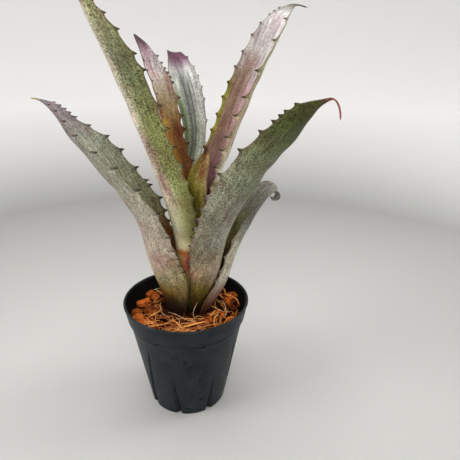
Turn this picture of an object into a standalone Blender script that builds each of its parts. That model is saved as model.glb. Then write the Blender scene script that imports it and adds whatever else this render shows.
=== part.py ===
"""Bromeliad in a small black nursery pot, built piece by piece.

Sizes are in millimetres and become metres when a mesh is made. The origin is the middle of the
pot's underside, Z is up, and the viewer of the plant stands at -Y.
"""

import math

import bmesh
import bpy
import numpy as np

MM = 0.001

# Pot: injection moulded, tapered, with a collar and eight flutes that deepen towards the floor.
POT_HEIGHT = 82.8
POT_BASE_RADIUS = 28.3
POT_WALL = 1.1
POT_FLOOR = 1.4
COLLAR_HEIGHT = 12.8
COLLAR_STEP = 2.2
COLLAR_BASE_RADIUS = 43.4
LIP_RADIUS = 45.0
LIP_BEAD = 0.7
LIP_HEIGHT = 1.8
POT_COLUMNS = 64
FLOOR_RING_RADIUS = 20.4
FLUTE_COUNT = 8
FLUTE_TURN = 29.0
FLUTE_TOP = 44.0
FLUTE_ROWS = (0.33, 0.66, 1.0)
FLUTE_DEPTH = 3.4
FLUTE_EASE = 0.8
FLUTE_HALF_ANGLE = 9.0
DRAIN_HOLE_RADIUS = 3.0
DRAIN_HOLE_SIDES = 12
DRAIN_CIRCLE_RADIUS = 17.0
DRAIN_HOLE_COUNT = 6

# Growing medium: husk chips and fibre, with a plain hole in which the plant stands.
FIT_GAP = 0.3
MEDIUM_EDGE_HEIGHT = 70.5
MEDIUM_EDGE_GAP = 0.4
MEDIUM_EDGE_ROUND = 1.6
MEDIUM_MOUND = 4.5
MOUND_RADIUS = 40.0
MOUND_FORWARD = 4.0
MEDIUM_RINGS = (2.0, 10.0)
PLANT_X = 3.0
PLANT_Y = 5.0
HOLE_RADIUS = 17.6
HOLE_FLOOR = 64.4
HOLE_SIDES = 32
CHIP_COUNT = 30
CHIP_SEED = 7
CHIP_LENGTH = (5.0, 10.0)
CHIP_WIDTH = (3.5, 6.0)
CHIP_HEIGHT = (3.5, 5.5)
CHIP_TAPER = 0.15
CHIP_TILT = 0.4
CHIP_LIFT = (-0.4, 0.8)
CHIP_RING_INSIDE = 25.5
CHIP_RING_WIDTH = 8.5
GOLDEN_TURN = 0.618034
SPREAD_STEP = 0.7548777

# Stem base: the short stem that carries the leaves, as height and radius from the bottom up.
STEM_PROFILE = [(64.8, 10.8), (68.0, 9.4), (72.0, 7.4), (78.0, 5.9), (82.0, 4.9), (88.0, 2.9), (92.0, 2.0)]
STEM_COLUMNS = 20

# Leaves: a blade is thickest along its midrib and thin at its toothed margins.
BLADE_THICKNESS = 1.6
MARGIN_THICKNESS = 0.7
FULL_HALF_WIDTH = 12.0
LEAST_HALF_WIDTH = 0.4
BLADE_COLUMNS = 6
SHEATH_ROWS = 8
TIP_ROWS = 5
SPINE_LENGTH = 2.6
SPINE_HOOK = 1.5
SPINE_HALF_BASE = 2.2
SPINE_CROWDING = 1.25
SPINE_SHRINK = 0.35
LEAF_ROUGHNESS = 0.55
LEAF_SMOOTH_ANGLE = 60

# Each leaf leans to one side of the plant: 0 is right, 90 is to the back, 180 is left.
# A station on its midrib holds x, y, z, then half the width along the curved section, the
# angle that the section bends to each side of the midrib, and the blade's roll, in degrees.
LEAVES = {
    "leaf_outer_left": {
        "lean": 180,
        "colour": "8f8d7c",
        "spines": 12,
        "spine_range": (0.36, 0.95),
        "stations": [
            (-10, 5, 65, 18, 78, 0),
            (-14, 5, 77, 25, 88, 0),
            (-20, 3, 93, 30, 84, 15),
            (-26, 2, 114, 31, 78, 16),
            (-32, 0, 143, 30, 70, 9),
            (-46, -2, 168, 25, 65, 5),
            (-60, -3, 189, 19, 60, -5),
            (-72, -4, 206, 10, 50, -8),
            (-81, -4, 218, 4, 40, -9),
            (-86, -4, 221, 1, 30, -10),
            (-91, -4, 222, 0.5, 30, -10),
        ],
    },
    "leaf_outer_right": {
        "lean": 5,
        "colour": "7b7a6a",
        "spines": 9,
        "spine_range": (0.3, 0.78),
        "stations": [
            (15, 6, 65, 13, 60, 0),
            (19, 6, 77, 18, 65, 0),
            (27, 9, 91, 18, 74, 5),
            (33, 11, 110, 17, 68, 7),
            (40, 13, 128, 18, 65, 6),
            (49, 16, 145, 16, 60, 7),
            (55, 18, 154, 13, 50, 8),
            (59, 19, 158, 11, 45, 8),
            (62, 19, 158, 8, 40, 4),
            (63, 19, 155, 6, 35, 0),
            (61, 19, 153, 3, 30, 0),
            (59, 19, 155, 0.5, 30, 0),
        ],
    },
    "leaf_front_right": {
        "lean": -40,
        "colour": "80836c",
        "spines": 13,
        "spine_range": (0.2, 0.9),
        "stations": [
            (11, -2, 68, 6, 30, 0),
            (13, -4, 80, 9, 40, 0),
            (15, -5, 89, 12, 62, -5),
            (18, -7, 99, 15, 75, -8),
            (22, -10, 118, 19, 75, -2),
            (28, -15, 140, 22, 65, 6),
            (39, -23, 166, 23, 60, 0),
            (51, -32, 189, 20, 55, -5),
            (64, -41, 209, 15, 50, -10),
            (72, -47, 222, 8, 45, -17),
            (79, -51, 228, 2, 35, -20),
            (82, -53, 229, 1, 30, -20),
            (85, -54, 225, 1, 30, -20),
            (86, -55, 219, 0.5, 30, -20),
        ],
    },
    "leaf_front_left": {
        "lean": -125,
        "colour": "86896a",
        "spines": 14,
        "spine_range": (0.2, 0.93),
        "stations": [
            (-2, -2, 72, 8, 55, 0),
            (-3, -4, 87, 12, 62, 0),
            (-3, -5, 104, 12, 72, 0),
            (-2, -6, 122, 12, 75, 0),
            (-3, -9, 138, 13, 72, 3),
            (-6, -14, 157, 14, 66, 1),
            (-12, -20, 181, 14, 60, -3),
            (-20, -28, 210, 13, 55, -2),
            (-27, -35, 235, 13, 50, 0),
            (-33, -41, 253, 10, 45, 0),
            (-39, -47, 268, 6, 40, 0),
            (-43, -51, 280, 2, 35, 0),
            (-45, -53, 288, 0.5, 30, 0),
        ],
    },
    "leaf_back_right": {
        "lean": 35,
        "colour": "a89598",
        "spines": 14,
        "spine_range": (0.3, 0.92),
        "stations": [
            (9, 9, 78, 7, 52, 0),
            (10, 10, 90, 9, 55, 0),
            (12, 10, 108, 11, 62, 0),
            (14, 11, 132, 12, 68, 0),
            (17, 12, 157, 12, 70, 0),
            (23, 17, 175, 16, 70, -4),
            (32, 24, 197, 17, 65, -8),
            (41, 32, 221, 17, 60, -3),
            (51, 39, 244, 16, 55, 1),
            (60, 45, 263, 12, 50, 10),
            (67, 49, 274, 6, 42, 13),
            (72, 51, 278, 2, 35, 12),
            (81, 53, 277, 0.5, 30, 8),
        ],
    },
    "leaf_back_left": {
        "lean": 150,
        "colour": "a08c78",
        "spines": 11,
        "spine_range": (0.4, 0.93),
        "stations": [
            (-2, 8, 82, 6, 58, 0),
            (-3, 9, 92, 5, 50, 0),
            (-3, 11, 110, 5, 46, 0),
            (-4, 13, 135, 6, 52, 0),
            (-3, 15, 158, 9, 58, 2),
            (-8, 20, 184, 10, 52, 5),
            (-13, 25, 206, 10, 46, 2),
            (-18, 30, 227, 9, 43, -6),
            (-24, 33, 241, 7, 42, -13),
            (-29, 35, 252, 4, 40, -13),
            (-34, 37, 259, 0.5, 30, -13),
        ],
    },
    "leaf_back": {
        "lean": 95,
        "colour": "b9b7b0",
        "spines": 10,
        "spine_range": (0.42, 0.88),
        "stations": [
            (2, 14, 72, 7, 48, 0),
            (2, 16, 84, 9, 50, 0),
            (2, 18, 108, 9, 52, 0),
            (2, 22, 138, 8, 55, 0),
            (1, 28, 169, 6, 52, 7),
            (4, 36, 188, 8, 50, 14),
            (3, 42, 205, 10, 45, 15),
            (-1, 48, 221, 11, 40, 13),
            (-6, 54, 235, 10, 36, 13),
            (-9, 60, 243, 7, 32, 11),
            (-12, 68, 247, 5, 30, 7),
            (-13, 76, 243, 3, 30, 3),
            (-14, 80, 237, 0.5, 30, 0),
        ],
    },
    "leaf_heart": {
        "lean": -80,
        "colour": "7d7233",
        "spines": 3,
        "spine_range": (0.55, 0.85),
        "stations": [
            (4, 1, 88, 5, 80, 0),
            (6, 2, 108, 6, 85, 0),
            (8, 3, 128, 7, 92, 0),
            (10, 4, 147, 7, 98, 2),
            (10, 4, 160, 10, 100, 4),
            (10, 5, 170, 10, 92, 4),
            (13, 6, 180, 6, 80, 0),
            (15, 7, 191, 0.5, 60, 0),
        ],
    },
}


def clear_scene():
    for obj in list(bpy.data.objects):
        bpy.data.objects.remove(obj, do_unlink=True)


def make_collection(name):
    collection = bpy.data.collections.new(name)
    bpy.context.scene.collection.children.link(collection)
    return collection


def linear(hex_colour):
    """An sRGB hex colour as linear red, green, blue and alpha."""
    parts = [int(hex_colour[i : i + 2], 16) / 255 for i in (0, 2, 4)]
    return [c / 12.92 if c <= 0.04045 else ((c + 0.055) / 1.055) ** 2.4 for c in parts] + [1.0]


def make_material(name, hex_colour, roughness):
    material = bpy.data.materials.new(name)
    material.use_nodes = True
    shader = material.node_tree.nodes["Principled BSDF"]
    shader.inputs["Base Color"].default_value = linear(hex_colour)
    shader.inputs["Roughness"].default_value = roughness
    shader.inputs["Metallic"].default_value = 0.0
    return material


def add_object(name, mesh, material, collection, smooth_angle=40):
    obj = bpy.data.objects.new(name, mesh)
    collection.objects.link(obj)
    mesh.materials.clear()
    mesh.materials.append(material)
    mesh.shade_smooth()
    mesh.set_sharp_from_angle(angle=math.radians(smooth_angle))
    return obj


def mesh_from(name, points, faces):
    mesh = bpy.data.meshes.new(name)
    mesh.from_pydata((np.asarray(points) * MM).tolist(), [], faces)
    mesh.update()
    return mesh


def turned_mesh(name, profile, columns):
    """The mesh that a Screw modifier makes of a profile of (radius, height) points about Z."""
    points = [(radius, 0.0, height) for radius, height in profile]
    edges = [(i, i + 1) for i in range(len(points) - 1)]
    outline = bpy.data.meshes.new(name + "_profile")
    outline.from_pydata((np.array(points) * MM).tolist(), edges, [])
    lathe = bpy.data.objects.new(name + "_profile", outline)
    bpy.context.scene.collection.objects.link(lathe)
    screw = lathe.modifiers.new("Turn", "SCREW")
    screw.steps = columns
    screw.render_steps = columns
    screw.use_merge_vertices = True
    screw.merge_threshold = 0.00001
    mesh = applied_mesh(lathe)
    bpy.data.objects.remove(lathe, do_unlink=True)
    return mesh


def applied_mesh(obj):
    """A new mesh of the object with its modifiers applied."""
    bpy.context.view_layer.update()
    graph = bpy.context.evaluated_depsgraph_get()
    return bpy.data.meshes.new_from_object(obj.evaluated_get(graph))


def pot_radius(height):
    """Outer radius of the plain tapered body below the collar."""
    body_top = POT_HEIGHT - COLLAR_HEIGHT
    top_radius = COLLAR_BASE_RADIUS - COLLAR_STEP
    return POT_BASE_RADIUS + (top_radius - POT_BASE_RADIUS) * height / body_top


def flute_mesh(mesh, depth):
    """Moves each point inwards where it lies in a flute: most on its middle line and at the floor."""
    pitch = 360 / FLUTE_COUNT
    for vertex in mesh.vertices:
        x, y, z = vertex.co / MM
        radius = math.hypot(x, y)
        if radius < FLOOR_RING_RADIUS + 1:
            continue
        turn = math.degrees(math.atan2(y, x)) - FLUTE_TURN
        off = abs((turn + pitch / 2) % pitch - pitch / 2) / FLUTE_HALF_ANGLE
        across = math.cos(min(off, 1.0) * math.pi / 2) ** 2
        down = max(0.0, 1 - z / FLUTE_TOP) ** FLUTE_EASE
        scale = (radius - depth * across * down) / radius
        vertex.co.x *= scale
        vertex.co.y *= scale
    mesh.update()


def make_pot(collection, cutters):
    """Turned shell with a bead at the lip and a stepped collar, fluted, with round drain holes."""
    body_top = POT_HEIGHT - COLLAR_HEIGHT
    inner = pot_radius(body_top) - POT_WALL
    heights = [FLUTE_TOP * share for share in FLUTE_ROWS]
    profile = [(0, POT_FLOOR), (FLOOR_RING_RADIUS, POT_FLOOR)]
    profile += [(pot_radius(POT_FLOOR) - POT_WALL, POT_FLOOR)]
    profile += [(pot_radius(z) - POT_WALL, z) for z in heights]
    profile += [(inner, body_top - POT_WALL), (COLLAR_BASE_RADIUS - POT_WALL, body_top + POT_WALL)]
    profile += [(LIP_RADIUS - LIP_BEAD - POT_WALL, POT_HEIGHT), (LIP_RADIUS, POT_HEIGHT)]
    profile += [(LIP_RADIUS, POT_HEIGHT - LIP_HEIGHT), (LIP_RADIUS - LIP_BEAD, POT_HEIGHT - LIP_HEIGHT)]
    profile += [(COLLAR_BASE_RADIUS, body_top), (pot_radius(body_top), body_top)]
    profile += [(pot_radius(z), z) for z in reversed(heights)]
    profile += [(pot_radius(0), 0), (FLOOR_RING_RADIUS, 0), (0, 0)]
    mesh = turned_mesh("pot", profile, POT_COLUMNS)
    flute_mesh(mesh, FLUTE_DEPTH)
    pot = add_object("pot", mesh, make_material("black_moulded_plastic", "2b3033", 0.42), collection)
    for index in range(DRAIN_HOLE_COUNT):
        angle = 2 * math.pi * index / DRAIN_HOLE_COUNT
        bpy.ops.mesh.primitive_cylinder_add(
            vertices=DRAIN_HOLE_SIDES,
            radius=DRAIN_HOLE_RADIUS * MM,
            depth=4 * POT_FLOOR * MM,
            location=(
                DRAIN_CIRCLE_RADIUS * MM * math.cos(angle),
                DRAIN_CIRCLE_RADIUS * MM * math.sin(angle),
                0,
            ),
        )
        cutter = bpy.context.object
        cutter.name = f"drain_cutter_{index + 1}"
        move_to(cutter, cutters)
        hide_cutter(cutter)
        cut = pot.modifiers.new(f"Drain {index + 1}", "BOOLEAN")
        cut.operation = "DIFFERENCE"
        cut.solver = "EXACT"
        cut.object = cutter


def move_to(obj, collection):
    for owner in list(obj.users_collection):
        owner.objects.unlink(obj)
    collection.objects.link(obj)


def hide_cutter(obj):
    obj.hide_render = True
    obj.display_type = "WIRE"


def medium_height(x, y):
    """Top of the medium: lowest at the pot's wall, mounded round the plant."""
    reach = math.hypot(x - PLANT_X, y - PLANT_Y + MOUND_FORWARD) / MOUND_RADIUS
    return MEDIUM_EDGE_HEIGHT + MEDIUM_MOUND * max(0.0, 1 - reach * reach)


def chip_box(rng, angle, radius):
    """One husk chip: a small tapered box, tilted and sunk into the top."""
    size = np.array([rng.uniform(*CHIP_LENGTH), rng.uniform(*CHIP_WIDTH), rng.uniform(*CHIP_HEIGHT)])
    corners = np.array([(i, j, k) for i in (-1, 1) for j in (-1, 1) for k in (-1, 1)], float)
    corners *= size / 2
    corners[:, :2] *= 1 - CHIP_TAPER * (corners[:, 2:] > 0)
    tilt, heading = rng.uniform(-CHIP_TILT, CHIP_TILT), rng.uniform(0, math.pi)
    lift = np.array([[math.cos(tilt), 0, math.sin(tilt)], [0, 1, 0], [-math.sin(tilt), 0, math.cos(tilt)]])
    turn = np.array(
        [[math.cos(heading), -math.sin(heading), 0], [math.sin(heading), math.cos(heading), 0], [0, 0, 1]]
    )
    x, y = radius * math.cos(angle), radius * math.sin(angle)
    lifted = rng.uniform(*CHIP_LIFT)
    faces = [(0, 1, 3, 2), (4, 6, 7, 5), (0, 4, 5, 1), (2, 3, 7, 6), (0, 2, 6, 4), (1, 5, 7, 3)]
    return corners @ lift.T @ turn.T + (x, y, medium_height(x, y) + lifted), faces


def make_medium(collection, cutters):
    """Plug that fills the pot with a small gap, its top mounded, with husk chips fused on."""
    clear = POT_WALL + 2 * FIT_GAP
    floor = POT_FLOOR + FIT_GAP
    heights = [floor] + [FLUTE_TOP * share for share in FLUTE_ROWS]
    edge = pot_radius(POT_HEIGHT - COLLAR_HEIGHT) - clear - MEDIUM_EDGE_GAP
    profile = [(0, MEDIUM_EDGE_HEIGHT)]
    profile += [(HOLE_RADIUS + ring, MEDIUM_EDGE_HEIGHT) for ring in MEDIUM_RINGS]
    profile += [(edge, MEDIUM_EDGE_HEIGHT - MEDIUM_EDGE_ROUND)]
    profile += [(pot_radius(z) - clear, z) for z in reversed(heights)]
    profile += [(FLOOR_RING_RADIUS, floor), (0, floor)]
    mesh = turned_mesh("growing_medium", profile, POT_COLUMNS)
    flute_mesh(mesh, FLUTE_DEPTH + 2 * FIT_GAP)
    for vertex in mesh.vertices:
        if vertex.co.z > (MEDIUM_EDGE_HEIGHT - MEDIUM_EDGE_ROUND / 2) * MM:
            vertex.co.z = medium_height(vertex.co.x / MM, vertex.co.y / MM) * MM
    medium = add_object("growing_medium", mesh, make_material("coconut_husk", "9a5628", 0.9), collection, 30)

    rng = np.random.default_rng(CHIP_SEED)
    chips = bpy.data.collections.new("husk_chips")
    bpy.context.scene.collection.children.link(chips)
    for index in range(CHIP_COUNT):
        angle = 2 * math.pi * index * GOLDEN_TURN
        radius = CHIP_RING_INSIDE + CHIP_RING_WIDTH * ((index * SPREAD_STEP) % 1)
        points, faces = chip_box(rng, angle, radius)
        chip = bpy.data.objects.new(f"chip_{index}", mesh_from(f"chip_{index}", points, faces))
        chips.objects.link(chip)
    join = medium.modifiers.new("Chips", "BOOLEAN")
    join.operation = "UNION"
    join.solver = "EXACT"
    join.operand_type = "COLLECTION"
    join.collection = chips
    joined = applied_mesh(medium)
    medium.modifiers.clear()
    medium.data = joined
    for chip in list(chips.objects):
        bpy.data.objects.remove(chip, do_unlink=True)
    bpy.data.collections.remove(chips)

    depth = 2 * (POT_HEIGHT - HOLE_FLOOR)
    bpy.ops.mesh.primitive_cylinder_add(
        vertices=HOLE_SIDES,
        radius=HOLE_RADIUS * MM,
        depth=depth * MM,
        location=(PLANT_X * MM, PLANT_Y * MM, (HOLE_FLOOR + depth / 2) * MM),
    )
    cutter = bpy.context.object
    cutter.name = "planting_hole_cutter"
    move_to(cutter, cutters)
    hide_cutter(cutter)
    cut = medium.modifiers.new("Planting hole", "BOOLEAN")
    cut.operation = "DIFFERENCE"
    cut.solver = "EXACT"
    cut.object = cutter


def make_stem_base(collection):
    """Short cone of the stem on which the leaf bases sit."""
    bottom, top = STEM_PROFILE[0][0], STEM_PROFILE[-1][0]
    profile = [(0, top)] + [(radius, height) for height, radius in reversed(STEM_PROFILE)] + [(0, bottom)]
    mesh = turned_mesh("stem_base", profile, STEM_COLUMNS)
    stem = add_object("stem_base", mesh, make_material("stem_bark", "4a3a22", 0.7), collection)
    stem.location = (PLANT_X * MM, PLANT_Y * MM, 0)


def smooth_read(knots, values, at):
    """Values between the knots by a natural cubic spline, column by column."""
    count = len(knots)
    gaps = np.diff(knots)
    system = np.zeros((count, count))
    right = np.zeros_like(values)
    system[0, 0] = system[-1, -1] = 1
    for i in range(1, count - 1):
        system[i, i - 1 : i + 2] = gaps[i - 1], 2 * (gaps[i - 1] + gaps[i]), gaps[i]
        right[i] = 6 * ((values[i + 1] - values[i]) / gaps[i] - (values[i] - values[i - 1]) / gaps[i - 1])
    bend = np.linalg.solve(system, right)
    k = np.clip(np.searchsorted(knots, at, side="right") - 1, 0, count - 2)
    gap = gaps[k][:, None]
    a = ((knots[k + 1] - at) / gaps[k])[:, None]
    b = 1 - a
    return a * values[k] + b * values[k + 1] + ((a**3 - a) * bend[k] + (b**3 - b) * bend[k + 1]) * gap**2 / 6


def unit(vectors):
    return vectors / np.linalg.norm(vectors, axis=-1, keepdims=True)


def blade_points(stations, lean, along, across):
    """Points of a blade's middle surface, with the directions and the half width at each.

    The midrib is a smooth curve through the stations. At each place the section is an arc of a
    circle that bends up from the midrib to both margins; along runs 0 to 1 from base to tip and
    across runs -1 to 1 from margin to margin. The directions are to the side along the section,
    out of the inner face, and along the growth.
    """
    stations = np.array(stations, float)
    steps = np.linalg.norm(np.diff(stations[:, :3], axis=0), axis=1)
    knots = np.concatenate([[0], np.cumsum(steps)]) / steps.sum()
    read = smooth_read(knots, stations, along)
    step = 0.001
    ahead = smooth_read(knots, stations[:, :3], np.minimum(along + step, 1))
    behind = smooth_read(knots, stations[:, :3], np.maximum(along - step, 0))
    growth = unit(ahead - behind)
    heading = math.radians(lean)
    sideways = np.array([-math.sin(heading), math.cos(heading), 0.0])
    side = unit(sideways - (growth @ sideways)[:, None] * growth)
    inward = np.cross(growth, side)
    roll = np.radians(read[:, 5])[:, None]
    side, inward = side * np.cos(roll) + inward * np.sin(roll), inward * np.cos(roll) - side * np.sin(roll)
    half = np.maximum(read[:, 3], LEAST_HALF_WIDTH)
    bend = np.radians(read[:, 4])
    turn = (bend * across)[:, None]
    radius = (half / bend)[:, None]
    points = read[:, :3] + side * radius * np.sin(turn) + inward * radius * (1 - np.cos(turn))
    sideward = side * np.cos(turn) + inward * np.sin(turn)
    normal = inward * np.cos(turn) - side * np.sin(turn)
    return points, sideward, normal, growth, half


def spine_rows(leaf, length):
    """Places along a blade of its mesh rows, and each row's share of a spine's length.

    The spines stand closer together towards the tip. Each has a row at its foot, one at its point
    and one at its front foot, and plain rows run below and above them.
    """
    first, last = leaf["spine_range"]
    count = leaf["spines"]
    centres = first + (last - first) * (1 - (1 - (np.arange(count) + 0.5) / count) ** SPINE_CROWDING)
    foot = SPINE_HALF_BASE / length
    rows = [(place, 0.0) for place in np.linspace(0, first - 2 * foot, SHEATH_ROWS)]
    for index, centre in enumerate(centres):
        size = 1 - SPINE_SHRINK * index / count
        rows += [(centre - foot * size, 0.0), (centre, size), (centre + foot * size, 0.0)]
    rows += [(place, 0.0) for place in np.linspace(last + foot, 1, TIP_ROWS)]
    return np.array(rows)


def leaf_mesh(name, leaf):
    """Closed blade: two faces split alike, half a thickness to each side of the middle surface."""
    stations = leaf["stations"]
    length = float(np.linalg.norm(np.diff(np.array(stations)[:, :3], axis=0), axis=1).sum())
    rows = spine_rows(leaf, length)
    across = np.linspace(-1, 1, BLADE_COLUMNS + 1)
    row_count, column_count = len(rows), len(across)
    along_grid = np.repeat(rows[:, 0], column_count)
    across_grid = np.tile(across, row_count)
    points, sideward, normal, growth, half = blade_points(stations, leaf["lean"], along_grid, across_grid)
    at_margin = np.abs(across_grid) == 1
    share = np.where(at_margin, np.repeat(rows[:, 1], column_count), 0)[:, None]
    points = points + share * (SPINE_LENGTH * sideward * across_grid[:, None] + SPINE_HOOK * growth)
    body = np.clip(half / FULL_HALF_WIDTH, 0, 1) * (1 - across_grid**2)
    thickness = (MARGIN_THICKNESS + (BLADE_THICKNESS - MARGIN_THICKNESS) * body)[:, None]
    both = np.concatenate([points + normal * thickness / 2, points - normal * thickness / 2])
    return mesh_from(name, both, blade_faces(row_count, column_count))


def blade_faces(row_count, column_count):
    """Triangles of the inner and the outer face, with the strips that close margins and ends."""
    other = row_count * column_count
    faces = []
    for i in range(row_count - 1):
        for j in range(column_count - 1):
            a, b = i * column_count + j, (i + 1) * column_count + j
            c, d = b + 1, a + 1
            faces += [(a, c, b), (a, d, c)]
            faces += [(a + other, b + other, c + other), (a + other, c + other, d + other)]
    border = list(range(column_count))
    border += [i * column_count + column_count - 1 for i in range(1, row_count)]
    border += [(row_count - 1) * column_count + j for j in range(column_count - 2, -1, -1)]
    border += [i * column_count for i in range(row_count - 2, 0, -1)]
    for a, b in zip(border, border[1:] + border[:1]):
        faces += [(a, a + other, b + other), (a, b + other, b)]
    return faces


def make_leaf(name, leaf, collection):
    mesh = leaf_mesh(name, leaf)
    shape = bmesh.new()
    shape.from_mesh(mesh)
    bmesh.ops.recalc_face_normals(shape, faces=shape.faces)
    shape.to_mesh(mesh)
    shape.free()
    material = make_material(name + "_skin", leaf["colour"], LEAF_ROUGHNESS)
    add_object(name, mesh, material, collection, LEAF_SMOOTH_ANGLE)


def main():
    clear_scene()
    bromeliad = make_collection("bromeliad")
    cutters = make_collection("cutters")
    make_pot(bromeliad, cutters)
    make_medium(bromeliad, cutters)
    make_stem_base(bromeliad)
    for name, leaf in LEAVES.items():
        make_leaf(name, leaf, bromeliad)


main()
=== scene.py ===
"""Young bromeliad in its black nursery pot: the looks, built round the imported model."""

import math

import bpy
import numpy as np
from mathutils import Matrix, Vector


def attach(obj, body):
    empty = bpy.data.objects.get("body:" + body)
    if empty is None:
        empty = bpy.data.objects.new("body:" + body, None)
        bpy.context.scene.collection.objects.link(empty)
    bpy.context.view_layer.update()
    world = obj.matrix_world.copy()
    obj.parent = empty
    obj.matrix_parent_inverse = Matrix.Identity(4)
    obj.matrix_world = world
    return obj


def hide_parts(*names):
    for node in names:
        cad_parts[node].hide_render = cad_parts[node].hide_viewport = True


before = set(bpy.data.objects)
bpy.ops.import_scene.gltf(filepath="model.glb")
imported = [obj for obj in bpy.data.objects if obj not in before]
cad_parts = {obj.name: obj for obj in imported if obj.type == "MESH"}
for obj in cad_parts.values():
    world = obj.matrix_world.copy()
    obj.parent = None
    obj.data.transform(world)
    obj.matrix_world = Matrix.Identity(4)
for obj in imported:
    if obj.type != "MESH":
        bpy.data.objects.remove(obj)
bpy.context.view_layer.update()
MM = 0.001

# The pot: a tapered nursery pot, injection moulded in recycled black polypropylene. A stepped
# collar and a rounded lip stiffen its top, eight flutes stiffen the wall towards the floor, and
# six holes in the floor let the water out.
POT_HEIGHT = 82.8
POT_BASE_RADIUS = 28.3
POT_SHOULDER_RADIUS = 41.2
POT_SHOULDER = 70.0
POT_WALL = 1.1
POT_FLOOR = 1.4
POT_COLUMNS = 384
POT_ROW_STEP = 1.8
FOOT_INSIDE = 23.6
FOOT_RECESS = 0.6
FOOT_STEP = 0.8
FOOT_ROUND = 0.9
FLOOR_ROUND = 1.0
RIDGE_HEIGHT = 66.2
RIDGE_RISE = 0.25
RIDGE_SLOPE = 0.6
RIDGE_TOP = 0.5
RIDGE_END = 1.0
SHOULDER_BEND = 1.4
GROOVE_DEPTH = 0.7
GROOVE_DROP = 0.8
GROOVE_TOP_DEPTH = 0.5
# The collar's lower edge and the lip are round: radius and height of the middle, and size.
COLLAR_EDGE = (42.0, 70.5, 0.5)
LIP_EDGE = (44.1, 81.9, 0.9)
COLLAR_OUTSIDE = [(43.5, 75.5), (44.1, 80.6), (44.5, 80.9)]
COLLAR_INSIDE = [(43.05, 80.6), (42.4, 75.5), (41.4, 71.2)]
# How far below the top of the lip the painted shade inside the pot takes to come in, in mm.
INSIDE_SHADE_FADE = 2.0
FLUTE_COUNT = 8
FLUTE_TURN = 36.0
FLUTE_TOPS = (60.0, 36.0, 36.0, 60.0)
FLUTE_LEANS = (17.0, -3.0, 1.0, -17.0)
FLUTE_DEPTH = 4.0
FLUTE_HALF_ANGLE = (0.8, 5.4)
FLUTE_DEEPENING = 0.7
FLUTE_SHORT_POWER = 0.6
FLUTE_FOOT_FADE = 3.0
DRAIN_CIRCLE_RADIUS = 17.0
DRAIN_HOLE_RADIUS = 3.0
DRAIN_HOLE_COUNT = 6
DRAIN_ROD_HALF = 3.0
DRAIN_ROD_COLUMNS = 32
DRAIN_ROD_ROW_STEP = 2.0


def srgb(hex_colour):
    """Red, green and blue of a hex colour, each 0 to 1, still in sRGB."""
    return np.array([int(hex_colour[i : i + 2], 16) / 255 for i in (1, 3, 5)])


def to_linear(values):
    """sRGB values as linear light: a straight line near black, and a power of 2.4 above it."""
    return np.where(values <= 0.04045, values / 12.92, ((values + 0.055) / 1.055) ** 2.4)


def linear(hex_colour):
    """An sRGB hex colour as linear red, green, blue and alpha."""
    return [*to_linear(srgb(hex_colour)).tolist(), 1.0]


def new_material(name):
    """A material of that name and its Principled shader."""
    material = bpy.data.materials.new(name)
    material.use_nodes = True
    return material, material.node_tree.nodes["Principled BSDF"]


def set_inputs(owner, node, inputs):
    """Gives each named input of the owner's node a plain value or another node's output."""
    for socket, value in inputs.items():
        if isinstance(value, bpy.types.NodeSocket):
            owner.node_tree.links.new(value, node.inputs[socket])
        else:
            node.inputs[socket].default_value = value


def add_node(material, kind, inputs, **settings):
    """Adds a node with its settings and inputs to the material, and gives its outputs."""
    node = material.node_tree.nodes.new("ShaderNode" + kind)
    for setting, value in settings.items():
        setattr(node, setting, value)
    set_inputs(material, node, inputs)
    return node.outputs


def shell_faces(rings, columns):
    """Faces of a closed shell: a first pole, rings of columns points, a last pole."""
    ring, column = np.meshgrid(np.arange(rings - 1), np.arange(columns), indexing="ij")
    ahead = (column + 1) % columns
    a, b = 1 + ring * columns + column, 1 + ring * columns + ahead
    quads = np.stack([a, b, b + columns, a + columns], axis=-1).reshape(-1, 4)
    turn = np.arange(columns)
    following = (turn + 1) % columns
    last = 1 + (rings - 1) * columns
    first_fan = np.stack([np.zeros(columns, int), 1 + following, 1 + turn], axis=-1)
    last_fan = np.stack([np.full(columns, last + columns), last + turn, last + following], axis=-1)
    return quads.tolist() + first_fan.tolist() + last_fan.tolist()


def repeated_faces(faces, count, points_each):
    """The faces of one shape, once for each of its copies, which follow one another."""
    return [[corner + copy * points_each for corner in face] for copy in range(count) for face in faces]


def new_object(name, data):
    """An object of that name with that data, in the scene."""
    thing = bpy.data.objects.new(name, data)
    bpy.context.scene.collection.objects.link(thing)
    return thing


def make_piece(name, points, faces, material, sharp_angle=50):
    """A mesh object from points in millimetres, smooth but for edges sharper than the angle."""
    mesh = bpy.data.meshes.new(name)
    mesh.from_pydata((points * MM).tolist(), [], faces)
    mesh.update()
    mesh.materials.append(material)
    mesh.shade_smooth()
    mesh.set_sharp_from_angle(angle=math.radians(sharp_angle))
    return new_object(name, mesh)


def set_attribute(piece, name, kind, values):
    """Stores one value, vector or colour for each point of the piece's mesh."""
    layer = piece.data.attributes.new(name, kind, "POINT")
    field = {"FLOAT": "value", "FLOAT_VECTOR": "vector", "FLOAT_COLOR": "color"}[kind]
    layer.data.foreach_set(field, np.ravel(values).astype(np.float32))


def arc(radius, height, size, start, end, steps):
    """Points of a round edge in the profile's plane, about (radius, height), between two angles."""
    angle = np.radians(np.linspace(start, end, steps))
    return list(zip(radius + size * np.cos(angle), height + size * np.sin(angle)))


def pot_radius(height):
    """Outside radius of the plain tapered wall."""
    return POT_BASE_RADIUS + (POT_SHOULDER_RADIUS - POT_BASE_RADIUS) * height / POT_SHOULDER


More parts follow.
